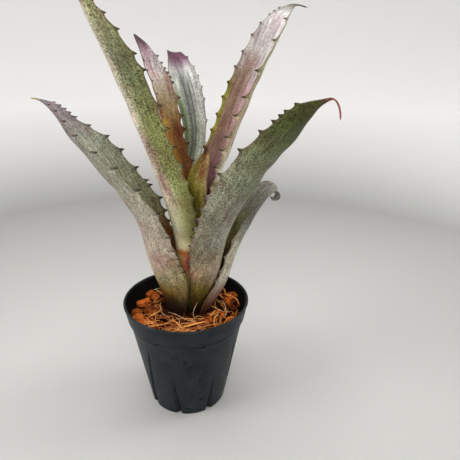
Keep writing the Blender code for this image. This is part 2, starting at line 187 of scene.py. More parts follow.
def flute_share(turn, height, radius):
    """How deep a point lies in a flute, 0 to 1.

    Flutes are V-shaped grooves a pitch apart at the floor, two long and two short by turns, and
    the long ones lean towards the short ones. They widen and deepen from their pointed top to the
    floor, so the share is the V at this turn times the way down, more for the long ones, and none
    near the axis.
    """
    pitch = 360 / FLUTE_COUNT
    from_first = np.degrees(turn) - FLUTE_TURN + pitch / 2
    which = np.floor(from_first / pitch).astype(int) % len(FLUTE_TOPS)
    top = np.array(FLUTE_TOPS)[which]
    down = np.clip(1 - height / top, 0, 1)
    off = np.abs(from_first % pitch - pitch / 2 - np.array(FLUTE_LEANS)[which] * (1 - down))
    half = FLUTE_HALF_ANGLE[0] + (FLUTE_HALF_ANGLE[1] - FLUTE_HALF_ANGLE[0]) * down
    v = np.clip(1 - off / half, 0, 1)
    long_ones = (top / max(FLUTE_TOPS)) ** FLUTE_SHORT_POWER
    off_axis = np.clip((radius - FOOT_INSIDE) / FLUTE_FOOT_FADE, 0, 1)
    return v * down**FLUTE_DEEPENING * long_ones * off_axis


def turned_shell(profile, columns, row_step, flute_depth):
    """Carries a profile of (radius, height) pairs round Z, less the depth of the flutes.

    A point at turn t is (r cos t, r sin t, z). The profile starts and ends on the axis, and long
    straight runs get rows a step apart. Returns the points, the faces and how deep each point
    lies in a flute.
    """
    profile = np.array(profile, float)
    lengths = np.linalg.norm(np.diff(profile, axis=0), axis=1)
    place = np.concatenate([[0], np.cumsum(lengths)])
    counts = np.maximum(1, np.ceil(lengths / row_step).astype(int))
    runs = zip(place, place[1:], counts)
    rows = np.concatenate([np.linspace(start, end, count, endpoint=False) for start, end, count in runs])
    radius = np.interp(rows[1:], place, profile[:, 0])[:, None]
    height = np.interp(rows[1:], place, profile[:, 1])[:, None]
    turn = np.linspace(0, 2 * np.pi, columns, endpoint=False)[None]
    share = flute_share(turn, height, radius)
    reach = radius - flute_depth * share
    rings = np.stack([reach * np.cos(turn), reach * np.sin(turn), height + 0 * turn], axis=-1)
    ends = np.array([[0, 0, profile[0, 1]], [0, 0, profile[-1, 1]]])
    points = np.concatenate([ends[:1], rings.reshape(-1, 3), ends[1:]])
    return points, shell_faces(len(radius), columns), np.concatenate([[0], share.ravel(), [0]])


# The profile runs from the middle of the recessed foot out, up the wall over a fine ridge and a
# shallow groove to the collar and the lip, and back down the inside to the middle of the floor.
ridge_radius = pot_radius(RIDGE_HEIGHT) + RIDGE_RISE
floor_corner = POT_FLOOR + FLOOR_ROUND
pot_profile = [
    (0, FOOT_RECESS),
    (FOOT_INSIDE - FOOT_STEP, FOOT_RECESS),
    (FOOT_INSIDE, 0.0),
    *arc(POT_BASE_RADIUS - FOOT_ROUND, FOOT_ROUND, FOOT_ROUND, -90, 0, 6),
    (pot_radius(RIDGE_HEIGHT - RIDGE_SLOPE), RIDGE_HEIGHT - RIDGE_SLOPE),
    (ridge_radius, RIDGE_HEIGHT),
    (ridge_radius, RIDGE_HEIGHT + RIDGE_TOP),
    (pot_radius(RIDGE_HEIGHT + RIDGE_END), RIDGE_HEIGHT + RIDGE_END),
    (pot_radius(POT_SHOULDER - SHOULDER_BEND), POT_SHOULDER - SHOULDER_BEND),
    (POT_SHOULDER_RADIUS - GROOVE_DEPTH, POT_SHOULDER - GROOVE_DROP),
    (POT_SHOULDER_RADIUS - GROOVE_TOP_DEPTH, POT_SHOULDER),
    *arc(*COLLAR_EDGE, -90, -5, 5),
    *COLLAR_OUTSIDE,
    *arc(*LIP_EDGE, -35, 180, 14),
    *COLLAR_INSIDE,
    (POT_SHOULDER_RADIUS - POT_WALL, POT_SHOULDER - POT_WALL),
    *arc(pot_radius(floor_corner) - POT_WALL - FLOOR_ROUND, floor_corner, FLOOR_ROUND, 0, -90, 5),
    (0, POT_FLOOR),
]
pot_points, pot_faces, pot_flute = turned_shell(pot_profile, POT_COLUMNS, POT_ROW_STEP, FLUTE_DEPTH)

# How far inside the pot each point lies, which sets where the painted shade inside it comes in: 0 up
# to the top of the lip, and from there it rises to 1 over the fade.
ring_height = pot_points[1:-1, 2].reshape(-1, POT_COLUMNS)[:, 0]
past_lip = np.arange(len(ring_height)) > np.argmax(ring_height)
ring_inside = past_lip * np.clip((POT_HEIGHT - ring_height) / INSIDE_SHADE_FADE, 0, 1)
pot_inside = np.concatenate([[0], np.repeat(ring_inside, POT_COLUMNS), [1]])

# Recycled black polypropylene, moulded against a lightly blasted tool: satin and blue-black, with
# haze in patches of about 11 mm and a grit of 0.7 mm. Splashed water leaves dark shiny spots of 2
# to 4 mm, in areas of about 30 mm. A film of soil lies in the flutes. The whole inside gets painted
# shade: near black, and rougher so that it hardly reflects.
plastic, plastic_shader = new_material("recycled_black_polypropylene")
pot_place = add_node(plastic, "TexCoord", {})["Object"]
pot_haze = add_node(
    plastic, "TexNoise", {"Vector": pot_place, "Scale": 90.0, "Detail": 5.0, "Roughness": 0.62}
)["Fac"]
pot_grit = add_node(plastic, "TexNoise", {"Vector": pot_place, "Scale": 1500.0, "Detail": 2.0})["Fac"]
pot_patch = add_node(plastic, "MapRange", {"Value": pot_haze, "From Min": 0.24, "From Max": 0.76})["Result"]
pot_body = add_node(
    plastic, "Mix", {"Factor": pot_patch, "A": linear("#0d1114"), "B": linear("#252c31")}, data_type="RGBA"
)["Result"]
splash = add_node(plastic, "TexVoronoi", {"Vector": pot_place, "Scale": 150.0})["Distance"]
splash_spot = add_node(
    plastic,
    "MapRange",
    {"Value": splash, "From Min": 0.3, "From Max": 0.16},
    interpolation_type="SMOOTHSTEP",
)["Result"]
splash_area = add_node(plastic, "TexNoise", {"Vector": pot_place, "Scale": 30.0})["Fac"]
splash_patch = add_node(
    plastic, "MapRange", {"Value": splash_area, "From Min": 0.48, "From Max": 0.56}
)["Result"]
splashed = add_node(plastic, "Math", {0: splash_spot, 1: splash_patch}, operation="MULTIPLY")["Value"]
pot_dark = add_node(
    plastic, "Mix", {"Factor": splashed, "A": pot_body, "B": linear("#07090a")}, data_type="RGBA"
)["Result"]
flute_depth_at = add_node(plastic, "Attribute", {}, attribute_name="flute")["Fac"]
soil_film = add_node(
    plastic, "MapRange", {"Value": flute_depth_at, "From Min": 0.35, "From Max": 0.95, "To Max": 0.7}
)["Result"]
pot_filmed = add_node(
    plastic, "Mix", {"Factor": soil_film, "A": pot_dark, "B": linear("#2a160c")}, data_type="RGBA"
)["Result"]
# Painted shade: the inside of the pot darkens to near black and turns rougher.
painted_inside_shade = add_node(plastic, "Attribute", {}, attribute_name="inside")["Fac"]
pot_with_inside_shade = add_node(
    plastic, "Mix", {"Factor": painted_inside_shade, "A": pot_filmed, "B": linear("#040201")}, data_type="RGBA"
)["Result"]
pot_gloss = add_node(plastic, "MapRange", {"Value": splashed, "To Min": 0.43, "To Max": 0.16})["Result"]
inside_shade_rough = add_node(plastic, "MapRange", {"Value": painted_inside_shade, "To Max": 0.5})["Result"]
pot_rough = add_node(plastic, "Math", {0: pot_gloss, 1: inside_shade_rough}, operation="ADD")["Value"]
pot_bump = add_node(plastic, "Bump", {"Height": pot_grit, "Strength": 0.25, "Distance": 0.0001})["Normal"]
pot_finish = {
    "Base Color": pot_with_inside_shade,
    "Specular IOR Level": 0.16,
    "Roughness": pot_rough,
    "Normal": pot_bump,
}
set_inputs(plastic, plastic_shader, pot_finish)

pot = make_piece("nursery_pot", pot_points, pot_faces, plastic, sharp_angle=35)
set_attribute(pot, "flute", "FLOAT", pot_flute)
set_attribute(pot, "inside", "FLOAT", pot_inside)

# The drain holes are cut with one mesh of six short rods, which goes once the cut is made.
rod_profile = [
    (0, -DRAIN_ROD_HALF),
    (DRAIN_HOLE_RADIUS, -DRAIN_ROD_HALF),
    (DRAIN_HOLE_RADIUS, DRAIN_ROD_HALF),
    (0, DRAIN_ROD_HALF),
]
rod_points, rod_faces, _ = turned_shell(rod_profile, DRAIN_ROD_COLUMNS, DRAIN_ROD_ROW_STEP, 0.0)
rod_turns = 2 * np.pi * np.arange(DRAIN_HOLE_COUNT) / DRAIN_HOLE_COUNT
rod_ways = np.stack([np.cos(rod_turns), np.sin(rod_turns), 0 * rod_turns], axis=-1)
rod_places = rod_ways * DRAIN_CIRCLE_RADIUS
rods = make_piece(
    "drain_rods",
    (rod_places[:, None] + rod_points[None]).reshape(-1, 3),
    repeated_faces(rod_faces, DRAIN_HOLE_COUNT, len(rod_points)),
    plastic,
)
drains = pot.modifiers.new("Drain holes", "BOOLEAN")
drains.operation = "DIFFERENCE"
drains.solver = "EXACT"
drains.object = rods
bpy.context.view_layer.update()
drained = bpy.data.meshes.new_from_object(pot.evaluated_get(bpy.context.evaluated_depsgraph_get()))
pot.modifiers.clear()
pot.data = drained
bpy.data.objects.remove(rods, do_unlink=True)
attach(pot, "root")
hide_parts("pot")

# The growing medium's bed: fine wet coconut husk that fills the pot to about 12 mm below the lip,
# mounded round the plant, and dark because the light hardly reaches it.
MEDIUM_EDGE_HEIGHT = 70.5
MEDIUM_MOUND = 4.5
MOUND_RADIUS = 40.0
MOUND_PLACE = (3.0, 1.0)
MEDIUM_CLEAR = POT_WALL + 0.6
BED_FLOOR = 1.7
BED_CORNER = 3.0
BED_FOOT_ROUND = 0.5
BED_SHOULDER = 2.6
BED_SHOULDER_INSET = 0.3
BED_SINK = 1.6
BED_TOP_INSET = 1.3
BED_TOP_MARGIN = 0.1
BED_COLUMNS = 160
BED_ROW_STEP = 1.2
BED_FLUTE_DEPTH = FLUTE_DEPTH + 0.3
BED_ROUGHNESS = 1.1
BED_WAVE = 5.0
BED_FINE_WAVE = 2.2
BED_FINE_SHARE = 0.5
BED_EDGE_FADE = 2.0
RIPPLE_SPREAD = (0.6, 1.7)
RIPPLE_STRENGTH = 0.6


def ripples(points, length, seed, waves=16):
    """Smooth irregular values, mostly -1 to 1: a sum of sine waves of about that length in mm.

    Each wave has a seeded random direction, length and phase.
    """
    rng = np.random.default_rng(seed)
    way = rng.normal(size=(waves, points.shape[-1]))
    turns_per_mm = 2 * np.pi / length * rng.uniform(*RIPPLE_SPREAD, (waves, 1))
    way *= turns_per_mm / np.linalg.norm(way, axis=1, keepdims=True)
    phase = rng.uniform(0, 2 * np.pi, waves)
    return np.sin(points @ way.T + phase).sum(axis=-1) * RIPPLE_STRENGTH / math.sqrt(waves / 2)


def medium_height(x, y):
    """Top of the medium: lowest at the pot's wall and mounded round the plant."""
    reach = np.hypot(x - MOUND_PLACE[0], y - MOUND_PLACE[1]) / MOUND_RADIUS
    return MEDIUM_EDGE_HEIGHT + MEDIUM_MOUND * np.clip(1 - reach**2, 0, 1)


bed_edge = pot_radius(MEDIUM_EDGE_HEIGHT - 1) - MEDIUM_CLEAR
bed_profile = [
    (0, BED_FLOOR),
    (pot_radius(BED_FLOOR) - MEDIUM_CLEAR - BED_FOOT_ROUND, BED_FLOOR),
    (pot_radius(BED_CORNER) - MEDIUM_CLEAR, BED_CORNER),
    (bed_edge - BED_SHOULDER_INSET, MEDIUM_EDGE_HEIGHT - BED_SHOULDER),
    (bed_edge - BED_TOP_INSET, MEDIUM_EDGE_HEIGHT - BED_SINK),
    (0, MEDIUM_EDGE_HEIGHT - BED_SINK),
]
bed_points, bed_faces, _ = turned_shell(bed_profile, BED_COLUMNS, BED_ROW_STEP, BED_FLUTE_DEPTH)
bed_flat = bed_points[:, :2]
on_top = bed_points[:, 2] > MEDIUM_EDGE_HEIGHT - BED_SHOULDER - BED_TOP_MARGIN
bed_top = medium_height(bed_flat[:, 0], bed_flat[:, 1]) - BED_SINK
bed_crumbs = ripples(bed_flat, BED_WAVE, 3) + BED_FINE_SHARE * ripples(bed_flat, BED_FINE_WAVE, 4)
bed_rough = BED_ROUGHNESS * bed_crumbs
inside = np.clip((bed_edge - np.hypot(bed_flat[:, 0], bed_flat[:, 1])) / BED_EDGE_FADE, 0, 1)
bed_points[:, 2] = np.where(on_top, bed_top + bed_rough * inside - (1 - inside), bed_points[:, 2])

# Coconut husk dust and short fibre: matt, rust brown on the crumbs, which are about 2.4 mm across,
# and painted near black in the hollows between them as their shade.
husk_dust, husk_dust_shader = new_material("wet_coconut_husk_dust_in_shade")
bed_place = add_node(husk_dust, "TexCoord", {})["Object"]
crumbs = add_node(
    husk_dust, "TexNoise", {"Vector": bed_place, "Scale": 420.0, "Detail": 4.0, "Roughness": 0.65}
)["Fac"]
crumb_share = add_node(
    husk_dust, "MapRange", {"Value": crumbs, "From Min": 0.42, "From Max": 0.72}
)["Result"]
# Painted shade: the hollows between the crumbs are near black.
dust_and_hollow_shade_colour = add_node(
    husk_dust,
    "Mix",
    {"Factor": crumb_share, "A": linear("#0c0502"), "B": linear("#4a2008")},
    data_type="RGBA",
)["Result"]
dust_bump = add_node(husk_dust, "Bump", {"Height": crumbs, "Strength": 0.9, "Distance": 0.0012})["Normal"]
dust_finish = {
    "Base Color": dust_and_hollow_shade_colour,
    "Specular IOR Level": 0.03,
    "Roughness": 0.95,
    "Normal": dust_bump,
}
set_inputs(husk_dust, husk_dust_shader, dust_finish)

husk_bed = make_piece("husk_bed", bed_points, bed_faces, husk_dust, sharp_angle=80)
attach(husk_bed, "root")
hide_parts("growing_medium")

# Husk chips: blocks sawn from the coconut's fibrous husk and washed, rust orange where they are
# dry and dark where wet, with painted shade near the plant. Large ones lie at the pot's wall,
# smaller ones fill in between.
CHIP_RINGS = 5
CHIP_COLUMNS = 8
CHIP_SQUARENESS = 0.3
CHIP_UNEVENNESS = 0.13
CHIP_WAVE = 5.0
CHIP_GRAIN_SHIFT = 37.0
CHIP_SEED = 21
LARGE_CHIP_SINK = 1.2
LARGE_CHIP_ROLL = 0.7
SMALL_CHIP_COUNT = 330
SMALL_CHIP_SEED = 12
SMALL_CHIP_LEAST = (2.6, 1.6, 1.2)
SMALL_CHIP_MOST = (6.2, 3.8, 2.8)
SMALL_CHIP_LIFT = (-1.6, 0.7)
SMALL_CHIP_SCATTER = 1.2
SMALL_CHIP_TUMBLE = 0.4
SMALL_CHIP_SHADE = (0.22, 0.18)
GOLDEN_ANGLE = 2.399963
CHIP_REACH = 38.6
PLANT_PLACE = (4.0, 4.0)
# The painted shade under the leaves darkens the small chips within this reach of the plant.
PLANT_SHADE_RADIUS = 24.0
PLANT_SHADE_CORE_SHARE = 0.5
# Each large chip: x, y, height above the medium, length, width, thickness, heading and tilt in
# degrees, and how orange it is.
LARGE_CHIPS = [
    (-32.5, 6.5, 2.4, 11.5, 7.5, 5.0, 20, -8, 0.9),
    (-30.0, -16.5, 2.6, 12.5, 8.5, 5.0, -28, 10, 0.85),
    (-36.0, -2.5, 1.2, 9.0, 6.0, 5.5, 75, 12, 0.55),
    (-24.5, -4.0, 0.8, 8.0, 6.0, 4.5, 110, -10, 0.35),
    (-22.5, -25.0, 0.6, 8.5, 5.5, 4.0, -50, 5, 0.6),
    (30.0, 9.5, 2.2, 9.5, 7.0, 5.0, 65, -12, 0.75),
    (32.5, 19.0, 1.8, 10.0, 7.0, 5.5, 30, 8, 0.6),
    (25.5, -8.0, 1.2, 9.0, 5.0, 3.6, -25, 14, 0.8),
    (16.0, -16.5, 1.4, 8.0, 5.5, 4.0, 10, -16, 0.7),
    (31.0, -13.0, 0.9, 8.5, 4.5, 3.5, 40, 6, 0.75),
    (-28.0, 18.5, 1.8, 11.0, 7.0, 5.0, -40, 10, 0.5),
    (-14.0, 31.5, 1.6, 10.0, 7.5, 5.0, 15, -8, 0.6),
    (6.0, 34.0, 1.8, 11.0, 6.5, 5.0, -10, 9, 0.7),
    (22.0, 29.0, 1.4, 9.5, 6.5, 4.5, 50, -6, 0.45),
]


def turn_matrices(heading, tilt, roll):
    """Rotations by the roll about X, then the tilt about Y, then the heading about Z, in radians."""
    one, none = np.ones_like(heading), np.zeros_like(heading)
    c, s = np.cos(heading), np.sin(heading)
    about_z = np.array([[c, -s, none], [s, c, none], [none, none, one]])
    c, s = np.cos(tilt), np.sin(tilt)
    about_y = np.array([[c, none, s], [none, one, none], [-s, none, c]])
    c, s = np.cos(roll), np.sin(roll)
    about_x = np.array([[one, none, none], [none, c, -s], [none, s, c]])
    return np.moveaxis(about_z, -1, 0) @ np.moveaxis(about_y, -1, 0) @ np.moveaxis(about_x, -1, 0)


def chip_blocks(places, sizes, turns, seed):
    """Rounded blocks: each is a ball whose coordinates are raised to a power, which squares it.

    At latitude u and longitude v the ball's point is (cos u cos v, cos u sin v, sin u). Every
    block is also made uneven with ripples of its own. Returns points, faces, and each point's
    place in its own block's frame, for the grain.
    """
    latitude = np.linspace(-0.5, 0.5, CHIP_RINGS + 2)[1:-1, None] * np.pi
    longitude = (np.arange(CHIP_COLUMNS)[None] + 0.5) * 2 * np.pi / CHIP_COLUMNS
    level_x = np.cos(latitude) * np.cos(longitude)
    level_y = np.cos(latitude) * np.sin(longitude)
    ball = np.stack([level_x, level_y, np.sin(latitude) + 0 * longitude], axis=-1).reshape(-1, 3)
    ball = np.concatenate([[[0, 0, -1]], ball, [[0, 0, 1]]])
    block = np.sign(ball) * np.abs(ball) ** CHIP_SQUARENESS
    local = block[None] * sizes[:, None] / 2
    shifted = local + np.arange(len(places))[:, None, None] * CHIP_GRAIN_SHIFT
    local = local * (1 + CHIP_UNEVENNESS * ripples(shifted, CHIP_WAVE, seed)[..., None])
    points = np.einsum("nij,nmj->nmi", turns, local) + places[:, None]
    faces = repeated_faces(shell_faces(CHIP_RINGS, CHIP_COLUMNS), len(places), len(block))
    return points.reshape(-1, 3), faces, shifted.reshape(-1, 3)


# The small chips are strewn along a sunflower spiral with some scatter, and none past the wall.
large = np.array(LARGE_CHIPS, float)
chip_rng = np.random.default_rng(SMALL_CHIP_SEED)
order = np.arange(SMALL_CHIP_COUNT)
spread = np.sqrt((order + 0.5) / SMALL_CHIP_COUNT) * CHIP_REACH
spiral = order * GOLDEN_ANGLE
small_x = spread * np.cos(spiral) + chip_rng.normal(0, SMALL_CHIP_SCATTER, SMALL_CHIP_COUNT)
small_y = spread * np.sin(spiral) + chip_rng.normal(0, SMALL_CHIP_SCATTER, SMALL_CHIP_COUNT)
pull = np.minimum(1, CHIP_REACH / np.maximum(np.hypot(small_x, small_y), 1))
small_x, small_y = small_x * pull, small_y * pull
small_size = chip_rng.uniform(SMALL_CHIP_LEAST, SMALL_CHIP_MOST, (SMALL_CHIP_COUNT, 3))
small_lift = chip_rng.uniform(*SMALL_CHIP_LIFT, SMALL_CHIP_COUNT)
small_heading = chip_rng.uniform(0, np.pi, SMALL_CHIP_COUNT)
small_tilt = chip_rng.normal(0, SMALL_CHIP_TUMBLE, SMALL_CHIP_COUNT)
small_roll = chip_rng.normal(0, SMALL_CHIP_TUMBLE, SMALL_CHIP_COUNT)
chip_x = np.concatenate([large[:, 0], small_x])
chip_y = np.concatenate([large[:, 1], small_y])
chip_lift = np.concatenate([large[:, 2] - LARGE_CHIP_SINK, small_lift])
chip_places = np.stack([chip_x, chip_y, medium_height(chip_x, chip_y) + chip_lift], axis=-1)
chip_sizes = np.concatenate([large[:, 3:6], small_size])
chip_heading = np.concatenate([np.radians(large[:, 6]), small_heading])
chip_tilt = np.concatenate([np.radians(large[:, 7]), small_tilt])
chip_roll = np.concatenate([np.radians(large[:, 7]) * LARGE_CHIP_ROLL, small_roll])
chip_turns = turn_matrices(chip_heading, chip_tilt, chip_roll)
chip_points, chip_faces, chip_grain = chip_blocks(chip_places, chip_sizes, chip_turns, CHIP_SEED)

# How dry and orange each chip is: the small ones vary, and near the plant get painted shade.
from_plant = np.hypot(small_x - PLANT_PLACE[0], small_y - PLANT_PLACE[1])
small_shade = np.clip(chip_rng.normal(*SMALL_CHIP_SHADE, SMALL_CHIP_COUNT), 0, 1)
# Painted shade under the leaves: small chips darken towards the plant.
small_shade *= np.clip(from_plant / PLANT_SHADE_RADIUS - PLANT_SHADE_CORE_SHARE, 0, 1)
chip_shade = np.concatenate([large[:, 8], small_shade])

# Coconut husk: bundles of fibre in a corky pith. The fibres give it a fine grain along the chip,
# about 0.4 mm apart and drawn at 0.7 mm so that it shows, with dark mottles of about 3 mm, and
# nothing in it shines.
husk, husk_shader = new_material("washed_coconut_husk")
chip_place = add_node(husk, "Attribute", {}, attribute_name="grain")["Vector"]
chip_stretch = add_node(husk, "Mapping", {"Vector": chip_place, "Scale": (0.22, 1.4, 1.4)})["Vector"]
husk_grain = add_node(
    husk, "TexNoise", {"Vector": chip_stretch, "Scale": 1.0, "Detail": 4.0, "Roughness": 0.7}
)["Fac"]
husk_mottle = add_node(husk, "TexNoise", {"Vector": chip_place, "Scale": 0.35, "Detail": 2.0})["Fac"]
chip_tone = add_node(husk, "Attribute", {}, attribute_name="shade")["Fac"]
husk_dry = add_node(
    husk, "Mix", {"Factor": chip_tone, "A": linear("#1c0b04"), "B": linear("#d0844c")}, data_type="RGBA"
)["Result"]
grain_share = add_node(
    husk, "MapRange", {"Value": husk_grain, "From Min": 0.35, "From Max": 0.62, "To Min": 0.8}
)["Result"]
husk_lined = add_node(
    husk,
    "Mix",
    {"Factor": grain_share, "A": husk_dry, "B": linear("#ffcf94")},
    data_type="RGBA",
    blend_type="MULTIPLY",
)["Result"]
mottle_share = add_node(
    husk, "MapRange", {"Value": husk_mottle, "From Min": 0.47, "From Max": 0.66, "To Max": 0.75}
)["Result"]
husk_colour = add_node(
    husk, "Mix", {"Factor": mottle_share, "A": husk_lined, "B": linear("#200a02")}, data_type="RGBA"
)["Result"]
husk_bump = add_node(husk, "Bump", {"Height": husk_grain, "Strength": 0.8, "Distance": 0.0006})["Normal"]
husk_finish = {
    "Base Color": husk_colour,
    "Specular IOR Level": 0.05,
    "Roughness": 0.88,
    "Normal": husk_bump,
}
set_inputs(husk, husk_shader, husk_finish)

chips = make_piece("husk_chips", chip_points, chip_faces, husk, sharp_angle=40)
set_attribute(chips, "grain", "FLOAT_VECTOR", chip_grain)
set_attribute(chips, "shade", "FLOAT", np.repeat(chip_shade, len(chip_points) // len(chip_shade)))
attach(chips, "root")

# Husk fibre: loose strands combed out of the husk, straw orange and springy. They lie across the
# chips, most of them at the front of the pot, and bend along the wall where they meet it.
FIBRE_COUNT = 150
FIBRE_SEED = 5
FIBRE_STEPS = 11
FIBRE_SIDES = 4
FIBRE_RADIUS = (0.17, 0.72)
FIBRE_THIN_POWER = 1.6
FIBRE_LENGTH = (8.0, 28.0)
FIBRE_SIDE = (-78.0, 62.0)
FIBRE_OUT = (0.22, 0.94)
FIBRE_SWING = 0.6
FIBRE_CURL = 0.45
FIBRE_ARCH = (-0.6, 2.6)
FIBRE_LIFT = (0.2, 2.1)
FIBRE_SINK = 0.6
FIBRE_SHADE = (0.48, 0.42)
WALL_REACH = 39.2
STRAND_TIP_SHARE = 0.35
STRAND_BELLY = (0.08, 0.92)
STRAND_BELLY_POWER = 0.6
STRAND_UPRIGHT_BELOW = 0.05


def unit(vectors):
    """The vectors at a length of 1."""
    return vectors / np.linalg.norm(vectors, axis=-1, keepdims=True)


def strands(paths, thickness, sides):
    """Round strands, tapered at both ends, closed with a flat end face.

    Each path is a row of points. A strand's section at a point is a polygon on the circle
    spanned by the sideways direction (the path's direction turned level) and the one across it.
    Where the path stands nearly upright, X helps the sideways direction. The taper follows half
    a wave of a sine from end to end.
    """
    along = unit(np.gradient(paths, axis=1))
    level = np.stack([-along[..., 1], along[..., 0], 0 * along[..., 0]], axis=-1)
    upright = np.linalg.norm(level, axis=-1, keepdims=True) < STRAND_UPRIGHT_BELOW
    level = unit(level + upright * np.array([1.0, 0, 0]))
    over = np.cross(along, level)
    turn = np.linspace(0, 2 * np.pi, sides, endpoint=False)
    belly = np.sin(np.pi * np.linspace(*STRAND_BELLY, paths.shape[1])) ** STRAND_BELLY_POWER
    taper = STRAND_TIP_SHARE + (1 - STRAND_TIP_SHARE) * belly
    reach = (thickness[:, None] * taper)[..., None, None]
    ring = level[:, :, None] * np.cos(turn)[:, None] + over[:, :, None] * np.sin(turn)[:, None]
    points = (paths[:, :, None] + reach * ring).reshape(-1, 3)
    strand, step, side = np.meshgrid(
        np.arange(paths.shape[0]), np.arange(paths.shape[1] - 1), np.arange(sides), indexing="ij"
    )
    start = strand * paths.shape[1] * sides + step * sides
    a, b = start + side, start + (side + 1) % sides
    walls = np.stack([a, b, b + sides, a + sides], axis=-1).reshape(-1, 4)
    first = np.arange(paths.shape[0])[:, None] * paths.shape[1] * sides
    near_end = first + np.arange(sides)[::-1]
    far_end = first + (paths.shape[1] - 1) * sides + np.arange(sides)
    return points, walls.tolist() + near_end.tolist() + far_end.tolist()


# Each fibre turns steadily along its length, arches up in its middle and follows the medium.
fibre_rng = np.random.default_rng(FIBRE_SEED)
fibre_turn = np.radians(fibre_rng.normal(*FIBRE_SIDE, FIBRE_COUNT))
fibre_out = WALL_REACH * np.sqrt(fibre_rng.uniform(*FIBRE_OUT, FIBRE_COUNT))
fibre_length = fibre_rng.uniform(*FIBRE_LENGTH, FIBRE_COUNT)
fibre_heading = fibre_turn + np.pi / 2 + fibre_rng.normal(0, FIBRE_SWING, FIBRE_COUNT)
fibre_curl = fibre_rng.normal(0, FIBRE_CURL, FIBRE_COUNT)
share = np.linspace(0, 1, FIBRE_STEPS)[None]
bearing = fibre_heading[:, None] + fibre_curl[:, None] * (share - 0.5) * 2
step_length = fibre_length[:, None] / (FIBRE_STEPS - 1)
fibre_x = np.cumsum(np.cos(bearing), axis=1) * step_length
fibre_y = np.cumsum(np.sin(bearing), axis=1) * step_length
fibre_x += (fibre_out * np.cos(fibre_turn))[:, None] - fibre_x.mean(axis=1, keepdims=True)
fibre_y += (fibre_out * np.sin(fibre_turn))[:, None] - fibre_y.mean(axis=1, keepdims=True)
held = np.minimum(1, WALL_REACH / np.maximum(np.hypot(fibre_x, fibre_y), 1))
fibre_x, fibre_y = fibre_x * held, fibre_y * held
fibre_arch = fibre_rng.uniform(*FIBRE_ARCH, FIBRE_COUNT)[:, None] * np.sin(np.pi * share)
fibre_lift = fibre_rng.uniform(*FIBRE_LIFT, FIBRE_COUNT)[:, None]
fibre_z = medium_height(fibre_x, fibre_y) + fibre_lift + fibre_arch - FIBRE_SINK
fibre_paths = np.stack([fibre_x, fibre_y, fibre_z], axis=-1)
fibre_stoutness = fibre_rng.uniform(0, 1, FIBRE_COUNT) ** FIBRE_THIN_POWER
fibre_radius = FIBRE_RADIUS[0] + (FIBRE_RADIUS[1] - FIBRE_RADIUS[0]) * fibre_stoutness
fibre_points, fibre_faces = strands(fibre_paths, fibre_radius, FIBRE_SIDES)
fibre_shade = np.clip(fibre_rng.normal(*FIBRE_SHADE, FIBRE_COUNT), 0, 1)

# Coir: tough round fibre with a waxy skin, so it has a soft gloss the pith hasn't, and it is worn
# dark in places of about 4 mm.
coir, coir_shader = new_material("coir_fibre")
fibre_tone = add_node(coir, "Attribute", {}, attribute_name="shade")["Fac"]
coir_colour = add_node(
    coir, "Mix", {"Factor": fibre_tone, "A": linear("#6a2a08"), "B": linear("#f0a052")}, data_type="RGBA"
)["Result"]
coir_place = add_node(coir, "TexCoord", {})["Object"]
coir_patch = add_node(coir, "TexNoise", {"Vector": coir_place, "Scale": 260.0, "Detail": 2.0})["Fac"]
coir_dark = add_node(
    coir, "MapRange", {"Value": coir_patch, "From Min": 0.5, "From Max": 0.75, "To Max": 0.6}
)["Result"]
coir_worn = add_node(
    coir, "Mix", {"Factor": coir_dark, "A": coir_colour, "B": linear("#4a1c06")}, data_type="RGBA"
)["Result"]
set_inputs(coir, coir_shader, {"Base Color": coir_worn, "Specular IOR Level": 0.12, "Roughness": 0.55})

fibres = make_piece("husk_fibres", fibre_points, fibre_faces, coir, sharp_angle=60)
set_attribute(fibres, "shade", "FLOAT", np.repeat(fibre_shade, FIBRE_STEPS * FIBRE_SIDES))
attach(fibres, "root")

# Old root hairs and leaf threads: a few long pale strands that hang from the leaf bases and
# curl down onto the husk. Each goes through the points given, in millimetres.
ROOT_THREADS = [
    [(12, 2.5, 83.5), (9, -7.5, 83.5), (6.6, -12.5, 80.5), (6, -14.5, 77), (7.5, -16.5, 74.6)],
    [(22.5, 0.5, 78.5), (26, -1.5, 80.5), (28.5, -6, 78.5), (29, -9.5, 75), (27.5, -13.5, 73.8)],
    [(-18.5, -3.5, 79.5), (-18, -7.5, 77), (-15.5, -11.5, 75.3), (-12.5, -14, 75.6), (-10, -17.5, 74.2)],
    [(-12, -11, 76.5), (-6, -16.5, 78.3), (1, -20, 76.8), (9, -21, 74.8), (16, -23.5, 73.6)],
    [(18, -6, 79), (21.5, -9, 79.5), (25.5, -9.5, 77.5), (30, -7.5, 75.4), (33.5, -4, 73.8)],
    [(-8, -14, 75), (-3.5, -21, 77), (-3, -26.5, 75.3), (-6, -31, 73.2), (-10.5, -33.5, 72.3)],
    [(-20, 14, 77), (-25, 19, 77.5), (-28, 23.5, 75), (-27, 28, 73), (-22, 31.5, 72.4)],
]
THREAD_STEPS = 28
THREAD_SIDES = 6
THREAD_RADIUS = 0.18


